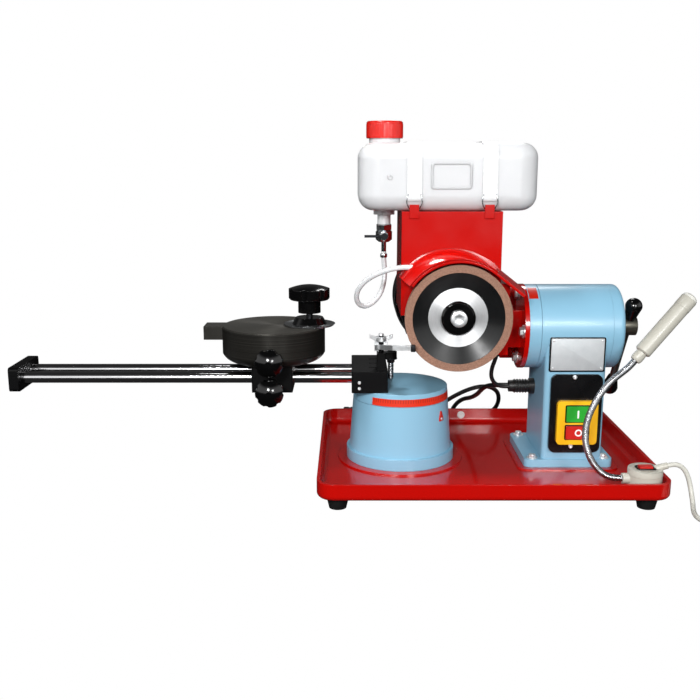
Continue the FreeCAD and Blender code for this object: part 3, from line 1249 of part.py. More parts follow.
def make_lamp():
    """Round foot with a switch and two collars, the rocker, and the head on the end of the gooseneck."""
    foot_top = "floor_z + lamp_foot_height"
    solid = fuse(
        "lamp_solid",
        cylinder("lamp_foot", "lamp_foot_radius", "lamp_foot_height", ("lamp_x", "lamp_y", "floor_z")),
        cylinder("neck_collar", "lamp_collar_radius", "lamp_foot_radius + lamp_collar_length",
                 ("lamp_x", "lamp_y", "lamp_exit_z"), "-X"),
        cylinder("cord_collar", "cord_collar_radius", "cord_collar_length",
                 ("lamp_x + cord_collar_side", "lamp_y", "floor_z + cord_collar_rise"),
                 FreeCAD.Rotation(V(0, 1, 0), 90 - number("cord_collar_tilt"))))
    corner = ("lamp_x - rocker_length / 2", "lamp_y - rocker_width / 2",
              f"{foot_top} - rocker_height + rocker_proud")
    recess = block("rocker_recess", "rocker_length + 2 * rocker_room", "rocker_width + 2 * rocker_room",
                   "rocker_height", (corner[0] + " - rocker_room", corner[1] + " - rocker_room",
                                     corner[2] + " - 2 * rocker_room"))
    keep("lamp_base", cut("lamp_base", solid, recess))
    keep("lamp_rocker", block("lamp_rocker", "rocker_length", "rocker_width", "rocker_height", corner))
    shoulder = "lamp_tail_length + lamp_edge"
    turned("lamp_head", [
        ("0", "0"), ("lamp_tail_radius", "0"), ("lamp_tail_radius", "lamp_tail_length"),
        ("lamp_head_radius - lamp_edge", "lamp_tail_length"), ("lamp_head_radius", shoulder),
        ("lamp_head_radius", "lamp_head_length - lamp_edge"),
        ("lamp_head_radius - lamp_edge", "lamp_head_length"), ("0", "lamp_head_length"),
    ], GOOSENECK[-1], FreeCAD.Rotation(V(0, 0, 1), LAMP_AIM))


# Cords, hose and gooseneck: routes chosen by hand, millimetres

GOOSENECK = [
    ("lamp_x - lamp_foot_radius - lamp_collar_length", "lamp_y", "lamp_exit_z"),
    ("lamp_x - 39.7", "lamp_y", "lamp_exit_z"), ("lamp_x - 51.3", "lamp_y + 1.4", "lamp_exit_z + 7"),
    ("lamp_x - 61.5", "lamp_y + 3.3", "lamp_exit_z + 19.1"),
    ("lamp_x - 67.5", "lamp_y + 5.7", "lamp_exit_z + 34.8"),
    ("lamp_x - 69", "lamp_y + 8.2", "lamp_exit_z + 49"),
    ("lamp_x - 67.6", "lamp_y + 10.7", "lamp_exit_z + 61.6"),
    ("lamp_x - 63.3", "lamp_y + 13.6", "lamp_exit_z + 74.2"),
    ("lamp_x - 55.9", "lamp_y + 17.3", "lamp_exit_z + 87.5"),
    ("lamp_x - 47", "lamp_y + 21.5", "lamp_exit_z + 99.3"),
    ("lamp_x - 36.4", "lamp_y + 26.5", "lamp_exit_z + 109.2"),
    ("lamp_x - 24.5", "lamp_y + 31.5", "lamp_exit_z + 116.5"),
    ("lamp_x - 15", "lamp_y + 34.7", "lamp_exit_z + 122.93"),
    ("lamp_x - 7.2", "lamp_y + 36", "lamp_exit_z + 131.9"),
]
COOLANT_HOSE = [
    ("neck_x", "0", "barb_bottom"), ("neck_x", "0", "barb_bottom - 10"),
    ("neck_x + 1.55", "-1", "barb_bottom - 24"), ("neck_x + 0.55", "-4", "barb_bottom - 38.5"),
    ("neck_x - 3.95", "-8", "barb_bottom - 52"), ("neck_x - 12.95", "-13", "barb_bottom - 62"),
    ("neck_x - 22.95", "-19.5", "barb_bottom - 66"), ("neck_x - 30.95", "-27", "barb_bottom - 62"),
    ("neck_x - 34.45", "-34.5", "barb_bottom - 52"), ("neck_x - 31.45", "-42", "barb_bottom - 40"),
    ("neck_x - 21.95", "-49.5", "barb_bottom - 28.5"), ("neck_x - 7.45", "-57", "barb_bottom - 19.5"),
    ("neck_x + 9.05", "-63.5", "barb_bottom - 13.5"), ("neck_x + 27.05", "-69", "barb_bottom - 11.2"),
    ("neck_x + 44.55", "-71", "barb_bottom - 12.7"),
]
MOTOR_LEAD = [
    ("lead_x", "0", "bracket_low - turn_gap"), ("lead_x", "0", "gland_z + 47"),
    ("post_left_x - 52.5", "1", "gland_z + 37"), ("post_left_x - 56", "2.5", "gland_z + 26"),
    ("post_left_x - 56.5", "4.5", "gland_z + 14.5"), ("post_left_x - 52", "7", "gland_z + 5.8"),
    ("post_left_x - 45", "9", "gland_z + 1.2"),
    ("post_left_x - gland_length - 6", "gland_y - lead_spread", "gland_z"),
    ("post_left_x - gland_length", "gland_y - lead_spread", "gland_z"),
]
MAINS_LEAD = [
    ("post_left_x - gland_length", "gland_y + lead_spread", "gland_z"),
    ("post_left_x - gland_length - 9", "gland_y + lead_spread", "gland_z"),
    ("197", "23.5", "gland_z - 1.5"), ("190.5", "33", "gland_z - 5"), ("187.5", "46", "gland_z - 11"),
    ("187", "66", "86"), ("186", "91", "74"), ("182", "tray_back - 35", "61"),
    ("175", "tray_back - 5", "51.5"), ("167", "tray_back + 16", "38"), ("161", "tray_back + 29", "20"),
    ("162.5", "tray_back + 39.5", "7.5"), ("171", "tray_back + 51", "mains_radius"),
    ("185", "tray_back + 62", "mains_radius"), ("203", "tray_back + 66", "3.9"),
    ("220", "tray_back + 60.5", "9.5"), ("230", "tray_back + 48", "21"),
    ("232.5", "tray_back + 33.5", "34.5"), ("231", "tray_back + 20", "48"),
    ("226", "tray_back + 9", "59.5"), ("215", "tray_back + 2", "67.5"), ("200", "tray_back", "69"),
    ("181", "tray_back + 3", "62.5"), ("162", "tray_back + 8.5", "51"), ("146", "tray_back + 14", "38.5"),
    ("132", "tray_back + 18", "25.5"), ("119", "tray_back + 21", "13.5"),
    ("107.5", "tray_back + 22.5", "6"), ("96", "tray_back + 22.9", "mains_radius"),
    ("mains_coil_x", "mains_coil_y - mains_coil_radius - mains_radius", "mains_radius"),
]
LAMP_CORD = [
    ("lamp_x + cord_collar_side + cord_collar_length * cos(cord_collar_tilt)", "lamp_y",
     "floor_z + cord_collar_rise + cord_collar_length * sin(cord_collar_tilt)"),
    ("tray_right + 6.5", "lamp_y", "50"), ("tray_right + 14", "lamp_y - 0.2", "47.8"),
    ("tray_right + 19.5", "lamp_y - 0.6", "42.5"), ("tray_right + 23.3", "lamp_y - 1.5", "34.5"),
    ("tray_right + 25.5", "lamp_y - 3.5", "25"), ("tray_right + 26.5", "lamp_y - 7.5", "15.5"),
    ("tray_right + 26", "lamp_y - 14", "7.5"), ("tray_right + 23.5", "lamp_y - 23", "3.4"),
    ("tray_right + 21", "lamp_y - 33.5", "lamp_cord_radius"),
    ("tray_right + 20.5", "lamp_y - 45", "lamp_cord_radius"),
    ("tray_right + 24", "lamp_y - 56", "lamp_cord_radius"),
    ("tray_right + 32", "lamp_y - 65", "lamp_cord_radius"),
    ("tray_right + 42.5", "lamp_y - 71.5", "lamp_cord_radius"),
    ("tray_right + 54.5", "lamp_y - 75", "lamp_cord_radius"),
    ("lamp_coil_x", "lamp_coil_y - lamp_coil_radius - lamp_cord_radius", "lamp_cord_radius"),
]
RUN_SHARE = 0.45


def tube(node, route, radius):
    """Round tube of straight runs and tangent arcs along a route, each arc as large as its runs allow."""
    points = [V(*(number(part) for part in point)) for point in route]
    edges, start, radii = [], points[0], []
    for before, corner, after in zip(points, points[1:], points[2:]):
        away, ahead = before - corner, after - corner
        reach = RUN_SHARE * min(away.Length, ahead.Length)
        away.normalize()
        ahead.normalize()
        half_turn = (math.pi - away.getAngle(ahead)) / 2
        radii.append(reach / math.tan(half_turn))
        middle = corner + (away + ahead).normalize() * radii[-1] * (1 / math.cos(half_turn) - 1)
        enter, leave = corner + away * reach, corner + ahead * reach
        edges += [Part.LineSegment(start, enter).toShape(), Part.Arc(enter, middle, leave).toShape()]
        start = leave
    edges.append(Part.LineSegment(start, points[-1]).toShape())
    path = Part.Wire(edges)
    size = number(radius)
    section = Part.Wire([Part.Circle(points[0], points[1] - points[0], size).toShape()])
    piece = doc.addObject("Part::Feature", node)
    piece.Shape = path.makePipeShell([section], True, False)
    filled = piece.Shape.Volume / (math.pi * size ** 2 * path.Length)
    smallest = ", ".join(f"{value / size / 2:.1f}" for value in radii)
    print(f"{node}: {path.Length:.0f} mm, volume ratio {filled:.4f}, bend radii in diameters {smallest}")
    return keep(node, piece)


def make_coil(node, x, y, radius, cord):
    """Solid of a neat coil on the bench: two turns wide, three turns high."""
    outside = cylinder(node + "_outside", f"{radius} + 2 * {cord}", f"6 * {cord}", (x, y, "0"))
    inside = cylinder(node + "_inside", f"{radius} - 2 * {cord}", f"6 * {cord}", (x, y, "0"))
    keep(node, cut(node, outside, inside))


def make_plug(node, tip, axis, pins, cord):
    """Round moulded plug lying on the bench, level with the top turn of its coil, with a tapered sleeve."""
    body = new_body(node + "_body", tip, axis)
    middle = f"5 * {cord}"
    sleeve = outline(body, node + "_profile", "XZ", [
        ("0", "0"), (f"{cord} + plug_sleeve", "0"), ("plug_neck", "plug_relief"),
        (f"{middle} - plug_bevel", "plug_relief"), (middle, "plug_relief + 2 * plug_bevel"),
        (middle, "plug_relief + plug_length"), ("0", "plug_relief + plug_length"),
    ])
    revolve(body, node + "_turning", sleeve)
    ends = [cylinder(node + "_pin", "plug_pin_radius", "plug_length / 2 + plug_pin_length", place, axis)
            for place in pins]
    keep(node, fuse(node, body, *ends))


def make_cords():
    """Every free cord with its coil and plug, the hose and the gooseneck."""
    tube("gooseneck", GOOSENECK, "neck_tube_radius")
    tube("coolant_hose", COOLANT_HOSE, "hose_radius")
    tube("motor_lead", MOTOR_LEAD, "lead_radius")
    tube("mains_lead", MAINS_LEAD, "mains_radius")
    tube("lamp_cord", LAMP_CORD, "lamp_cord_radius")
    make_coil("mains_coil", "mains_coil_x", "mains_coil_y", "mains_coil_radius", "mains_radius")
    make_coil("lamp_coil", "lamp_coil_x", "lamp_coil_y", "lamp_coil_radius", "lamp_cord_radius")
    back, level = "mains_coil_y - mains_coil_radius - mains_radius", "5 * mains_radius"
    make_plug("mains_plug", ("mains_coil_x", back, level), "-X",
              [("mains_coil_x - plug_relief - plug_length / 2", f"{back} + {side} * plug_pin_spread", level)
               for side in (-1, 1)], "mains_radius")
    right, level = "lamp_coil_x + lamp_coil_radius + lamp_cord_radius", "5 * lamp_cord_radius"
    make_plug("lamp_plug", (right, "lamp_coil_y", level), "Y",
              [(f"{right} + {side} * plug_pin_spread", "lamp_coil_y + plug_relief + plug_length / 2", level)
               for side in (-1, 1)], "lamp_cord_radius")


def make_all():
    """Every sub-part of the machine."""
    make_tray()
    make_feet()
    make_turret()
    make_arm()
    make_carrier()
    make_seat()
    make_clamp()
    make_star_knob("seat_knob", ("carrier_x", "0 - seat_radius - turn_gap", "seat_knob_z"),
                   "star_neck_length")
    make_star_knob("carrier_knob", ("carrier_x", "0 - carrier_width / 2 - turn_gap", "carrier_knob_z"),
                   "seat_radius - carrier_width / 2 + star_neck_length")
    make_finger()
    make_column()
    make_pivot()
    make_switch()
    make_gland()
    make_bracket()
    make_guard()
    make_flange_bolts()
    make_motor()
    make_wheel()
    make_lever()
    make_tank()
    make_valve()
    make_straps()
    make_lamp()
    make_cords()


def export_all():
    """Check each sub-part and write it to its own file."""
    doc.recompute()
    for piece in doc.Objects:
        if "Invalid" in piece.State or "Error" in piece.State:
            raise RuntimeError(f"{piece.Label} did not recompute: {piece.State}")
    os.makedirs("parts", exist_ok=True)
    for node, piece in subparts.items():
        if piece.Shape.isNull() or not piece.Shape.isValid():
            raise RuntimeError(f"{node} has no valid shape")
        piece.Shape.exportStep(os.path.join("parts", node + ".step"))


fill_sheet()
make_all()
export_all()
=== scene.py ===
"""Dress of a water-cooled grinder for circular saw blades: finishes, small trim, cords, light and camera.

Sizes and places of the pieces are in millimetres, and those of the studio in metres.
"""

import logging
import math
from collections.abc import Callable, Iterable, Sequence
from dataclasses import dataclass, field
from enum import Enum
from typing import ClassVar

import bmesh
import bpy
from mathutils import Matrix, Vector


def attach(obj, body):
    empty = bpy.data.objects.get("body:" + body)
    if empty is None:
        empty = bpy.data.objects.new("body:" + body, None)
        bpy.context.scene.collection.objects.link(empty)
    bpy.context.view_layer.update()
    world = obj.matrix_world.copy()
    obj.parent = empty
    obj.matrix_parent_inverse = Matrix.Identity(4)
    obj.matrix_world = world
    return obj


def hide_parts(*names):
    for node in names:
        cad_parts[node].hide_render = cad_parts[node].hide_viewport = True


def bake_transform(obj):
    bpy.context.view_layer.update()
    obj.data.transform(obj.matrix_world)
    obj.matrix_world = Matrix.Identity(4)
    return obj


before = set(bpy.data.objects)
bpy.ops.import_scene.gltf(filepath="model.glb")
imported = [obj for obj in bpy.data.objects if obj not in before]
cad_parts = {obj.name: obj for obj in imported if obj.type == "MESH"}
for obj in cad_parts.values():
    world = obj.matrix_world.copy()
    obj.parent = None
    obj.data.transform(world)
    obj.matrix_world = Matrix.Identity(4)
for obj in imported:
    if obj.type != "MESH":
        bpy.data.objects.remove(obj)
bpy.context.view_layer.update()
LOG = logging.getLogger("saw_blade_grinder")
MM = 0.001
SMOOTH_ANGLE = math.radians(32)
Point = tuple[float, float, float]
Pair = tuple[float, float]
Tree = bpy.types.NodeTree
Socket = bpy.types.NodeSocket
Mesh = bmesh.types.BMesh
Corner = bmesh.types.BMVert
Item = bpy.types.Object


class Body(str, Enum):
    """The moving bodies that the trim rides on."""

    BASE = "base"
    HEAD = "head"
    WHEEL = "wheel"
    ARM = "arm"
    FINGER = "finger"
    CAP = "cap"
    START = "start_push"
    STOP = "stop_push"


class Way(Enum):
    """Directions that faces and turned pieces point."""

    RIGHT = (1.0, 0.0, 0.0)
    LEFT = (-1.0, 0.0, 0.0)
    BACK = (0.0, 1.0, 0.0)
    FRONT = (0.0, -1.0, 0.0)
    UP = (0.0, 0.0, 1.0)
    DOWN = (0.0, 0.0, -1.0)


# Finishes

def linear(code: str) -> tuple[float, float, float, float]:
    """Turn an sRGB hex colour into linear light.

    Args:
        code: six hex digits after a hash sign.

    Returns:
        Red, green, blue and an alpha of one.
    """
    parts = [int(code[start:start + 2], 16) / 255 for start in (1, 3, 5)]
    parts = [part / 12.92 if part <= 0.04045 else ((part + 0.055) / 1.055) ** 2.4 for part in parts]
    return parts[0], parts[1], parts[2], 1.0


def add_node(tree: Tree, kind: str, inputs: dict | None = None, **settings: object) -> bpy.types.Node:
    """Add a shader node with its settings, values and links.

    Args:
        tree: the material's node tree.
        kind: the node's type name, without the ShaderNode prefix.
        inputs: input name or number to a socket to link from or a value to set.
        settings: the node's own properties.

    Returns:
        The new node.
    """
    node = tree.nodes.new("ShaderNode" + kind)
    for name, value in settings.items():
        setattr(node, name, value)
    for name, value in (inputs or {}).items():
        if isinstance(value, Socket):
            tree.links.new(value, node.inputs[name])
        else:
            node.inputs[name].default_value = value
    return node


def per_mm(size: float) -> float:
    """Texture scale that gives a pattern of this size in millimetres."""
    return 1 / (size * MM)


@dataclass(frozen=True)
class Finish:
    """A surface: what it is made of, and how it was worked.

    Attributes:
        name: the finish's common name.
        colour: main sRGB colour.
        roughness: middle of the roughness range.
        tone: second sRGB colour of the broad mottling.
        metallic: one for bare metal.
        ior: refractive index of the clear part; bare metal keeps the default.
        coat: weight of a clear top coat.
        spread: how far the roughness varies each way.
        cloud_mm: size of the broad mottling.
        grain_mm: size of the fine relief.
        relief_mm: height of the fine relief.
        edge_mm: radius that the shader gives to sharp edges.
        sockets: further sockets of the shader with their values.
        coat_roughness: roughness of the top coat.
        least_roughness: the glossiest that a surface gets.
        smudge: part of the noise's range that the roughness follows.
    """

    name: str
    colour: str
    roughness: float
    tone: str
    metallic: float = 0.0
    ior: float = 1.5
    coat: float = 0.0
    spread: float = 0.06
    cloud_mm: float = 45.0
    grain_mm: float = 1.2
    relief_mm: float = 0.01
    edge_mm: float = 0.6
    sockets: tuple[tuple[str, float | Point], ...] = ()
    coat_roughness: ClassVar[float] = 0.06
    least_roughness: ClassVar[float] = 0.02
    smudge: ClassVar[Pair] = (0.3, 0.7)

    def pattern(self, tree: Tree, place: Socket) -> Socket:
        """Broad mottling, as a share of the second tone.

        Args:
            tree: the material's node tree.
            place: object coordinates.

        Returns:
            The socket of the share.
        """
        cloud = add_node(tree, "TexNoise", {"Vector": place, "Scale": per_mm(self.cloud_mm), "Detail": 4.0})
        return cloud.outputs["Fac"]

    def height(self, tree: Tree, place: Socket) -> Socket:
        """Fine relief as a height between nought and one.

        Args:
            tree: the material's node tree.
            place: object coordinates.

        Returns:
            The height socket.
        """
        grain = add_node(tree, "TexNoise", {"Vector": place, "Scale": per_mm(self.grain_mm), "Detail": 3.0})
        return grain.outputs["Fac"]

    def lay(self, tree: Tree, place: Socket) -> dict[str, Socket | float]:
        """Shader inputs for the way that tool marks run; a plain finish has none."""
        return {}

    def build(self) -> bpy.types.Material:
        """Make the material.

        Returns:
            The new material, with its nodes linked.
        """
        material = bpy.data.materials.new(self.name)
        material.use_nodes = True
        tree = material.node_tree
        tree.nodes.clear()
        place = add_node(tree, "TexCoord").outputs["Object"]
        marks = add_node(tree, "TexNoise", {
            "Vector": place, "Scale": per_mm(self.cloud_mm / 2), "Detail": 5.0})
        rough = add_node(tree, "MapRange", {
            "Value": marks.outputs["Fac"], "From Min": self.smudge[0], "From Max": self.smudge[1],
            "To Min": max(self.least_roughness, self.roughness - self.spread),
            "To Max": self.roughness + self.spread})
        edge = add_node(tree, "Bevel", {"Radius": self.edge_mm * MM}, samples=4)
        bump = add_node(tree, "Bump", {
            "Height": self.height(tree, place), "Distance": self.relief_mm * MM, "Strength": 1.0,
            "Normal": edge.outputs["Normal"]})
        tones = add_node(tree, "Mix", {
            0: self.pattern(tree, place), 6: linear(self.colour), 7: linear(self.tone)}, data_type="RGBA")
        shader = add_node(tree, "BsdfPrincipled", {
            "Base Color": tones.outputs[2], "Metallic": self.metallic, "IOR": self.ior,
            "Roughness": rough.outputs["Result"], "Normal": bump.outputs["Normal"],
            "Coat Weight": self.coat, "Coat Roughness": self.coat_roughness, **self.lay(tree, place)})
        for name, value in self.sockets:
            shader.inputs[name].default_value = value
        add_node(tree, "OutputMaterial", {"Surface": shader.outputs["BSDF"]})
        return material


@dataclass(frozen=True)
class RoundFinish(Finish):
    """Marks that run round an axis.

    Attributes:
        centre: a point of the axis, in millimetres.
    """

    centre: Point = (0.0, 0.0, 0.0)

    def from_centre(self, tree: Tree, place: Socket) -> Socket:
        """Places measured from the axis's point."""
        centre = tuple(part * MM for part in self.centre)
        return add_node(tree, "VectorMath", {0: place, 1: centre}, operation="SUBTRACT").outputs[0]


@dataclass(frozen=True)
class TurnedFinish(RoundFinish):
    """Turned on a lathe: fine uneven rings round an axis, on flat faces and round walls alike.

    Attributes:
        axis: the way of the axis.
        ring_mm: spacing of the rings, drawn coarse enough to show.
        stretch: how far the rings draw highlights out across them.
    """

    axis: Way = Way.BACK
    ring_mm: float = 1.6
    stretch: float = 0.75

    def rings(self, tree: Tree, place: Socket) -> Socket:
        """Uneven rings between nought and one, counted outwards and along the axis.

        Args:
            tree: the material's node tree.
            place: object coordinates.

        Returns:
            The socket of the rings.
        """
        moved = self.from_centre(tree, place)
        along_axis = add_node(tree, "VectorMath", {0: moved, 1: self.axis.value}, operation="DOT_PRODUCT")
        round_axis = add_node(tree, "VectorMath", {0: moved, 1: self.axis.value}, operation="CROSS_PRODUCT")
        reach = add_node(tree, "VectorMath", {0: round_axis.outputs[0]}, operation="LENGTH")
        path = add_node(tree, "Math", {0: reach.outputs["Value"], 1: along_axis.outputs["Value"]})
        noise = add_node(tree, "TexNoise", {
            "W": path.outputs[0], "Scale": per_mm(self.ring_mm), "Detail": 2.0}, noise_dimensions="1D")
        return noise.outputs["Fac"]

    def lay(self, tree: Tree, place: Socket) -> dict[str, Socket | float]:
        """Highlights drawn out across the rings, which gives a turned face its bow-tie shine.

        Args:
            tree: the material's node tree.
            place: object coordinates.

        Returns:
            The shader's inputs for it.
        """
        moved = self.from_centre(tree, place)
        groove = add_node(tree, "VectorMath", {0: self.axis.value, 1: moved}, operation="CROSS_PRODUCT")
        turned = add_node(tree, "VectorTransform", {0: groove.outputs[0]}, vector_type="VECTOR",
                          convert_from="OBJECT", convert_to="WORLD")
        normal = add_node(tree, "NewGeometry").outputs["Normal"]
        across = add_node(tree, "VectorMath", {0: normal, 1: turned.outputs[0]}, operation="CROSS_PRODUCT")
        return {"Anisotropic": self.stretch, "Tangent": across.outputs[0]}

    def pattern(self, tree: Tree, place: Socket) -> Socket:
        """Rings of the second tone."""
        return self.rings(tree, place)

    def height(self, tree: Tree, place: Socket) -> Socket:
        """Rings as a height."""
        return self.rings(tree, place)


@dataclass(frozen=True)
class PaintedSheenFinish(TurnedFinish):
    """Turned casting whose faces across the axis carry a painted sheen in the paler tone.

    Attributes:
        sheen_facing: how squarely a face has to lie across the axis for its painted sheen to start and to be
            full.
        faint: strength of the rings on the walls.
    """

    sheen_facing: Pair = (0.5, 0.95)
    faint: float = 0.3

    def pattern(self, tree: Tree, place: Socket) -> Socket:
        """Paler second tone as a painted sheen on the faces across the axis, and in faint rings on the
        walls.

        Args:
            tree: the material's node tree.
            place: object coordinates.

        Returns:
            The socket of the second tone's share.
        """
        normal = add_node(tree, "TexCoord").outputs["Normal"]
        across = add_node(tree, "VectorMath", {0: normal, 1: self.axis.value}, operation="DOT_PRODUCT")
        # Faces across the axis get the paler tone: a painted sheen.
        face = add_node(tree, "MapRange", {
            "Value": across.outputs["Value"], "From Min": self.sheen_facing[0], "From Max": self.sheen_facing[1]})
        faint = add_node(tree, "Math", {0: self.rings(tree, place), 1: self.faint}, operation="MULTIPLY")
        return add_node(tree, "Math", {0: face.outputs["Result"], 1: faint.outputs[0]},
                        operation="MAXIMUM").outputs[0]


@dataclass(frozen=True)
class GritFinish(Finish):
    """Bonded abrasive: grains of several tones with open pores."""

    def pattern(self, tree: Tree, place: Socket) -> Socket:
        """Each grain's own share of the second tone."""
        grains = add_node(tree, "TexVoronoi", {"Vector": place, "Scale": per_mm(self.grain_mm)})
        return add_node(tree, "SeparateXYZ", {0: grains.outputs["Color"]}).outputs["X"]


@dataclass(frozen=True)
class ScaleFinish(RoundFinish):
    """Printed vinyl tape with upright division lines round an axis.

    Attributes:
        step_deg: degrees between lines.
        line_share: share of each step that its line takes.
        low: the height that the lines stop at, in millimetres.
    """

    step_deg: float = 3.0
    line_share: float = 0.2
    low: float = 102.0

    def pattern(self, tree: Tree, place: Socket) -> Socket:
        """Dark lines every few degrees over the tape's upper half.

        Args:
            tree: the material's node tree.
            place: object coordinates.

        Returns:
            The socket of the lines.
        """
        split = add_node(tree, "SeparateXYZ", {0: self.from_centre(tree, place)})
        angle = add_node(tree, "Math", {0: split.outputs["Y"], 1: split.outputs["X"]}, operation="ARCTAN2")
        steps = add_node(tree, "Math", {0: angle.outputs[0], 1: 180 / math.pi / self.step_deg},
                         operation="MULTIPLY")
        part = add_node(tree, "Math", {0: steps.outputs[0]}, operation="FRACT")
        line = add_node(tree, "Math", {0: part.outputs[0], 1: self.line_share}, operation="LESS_THAN")
        upper = add_node(tree, "Math", {0: split.outputs["Z"], 1: self.low * MM}, operation="GREATER_THAN")
        return add_node(tree, "Math", {0: line.outputs[0], 1: upper.outputs[0]},
                        operation="MULTIPLY").outputs[0]


def soaked(weight: float, depth: float) -> tuple[tuple[str, float | Point], ...]:
    """Sockets for light that soaks into white plastic, by its share and its depth in metres."""
    return (("Subsurface Weight", weight), ("Subsurface Scale", depth),
            ("Subsurface Radius", (1.0, 1.0, 0.95)))


def dulled(level: float) -> tuple[tuple[str, float | Point], ...]:
    """Socket for a shine held down to a level, where a half is the usual one."""
    return (("Specular IOR Level", level),)


WHEEL_AXIS = (137.7, 0.0, 209.7)
SEAT_AXIS = (-83.8, 0.0, 0.0)
DISC_AXIS = (-39.0, 0.0, 0.0)
TURRET_AXIS = (75.5, 0.0, 0.0)

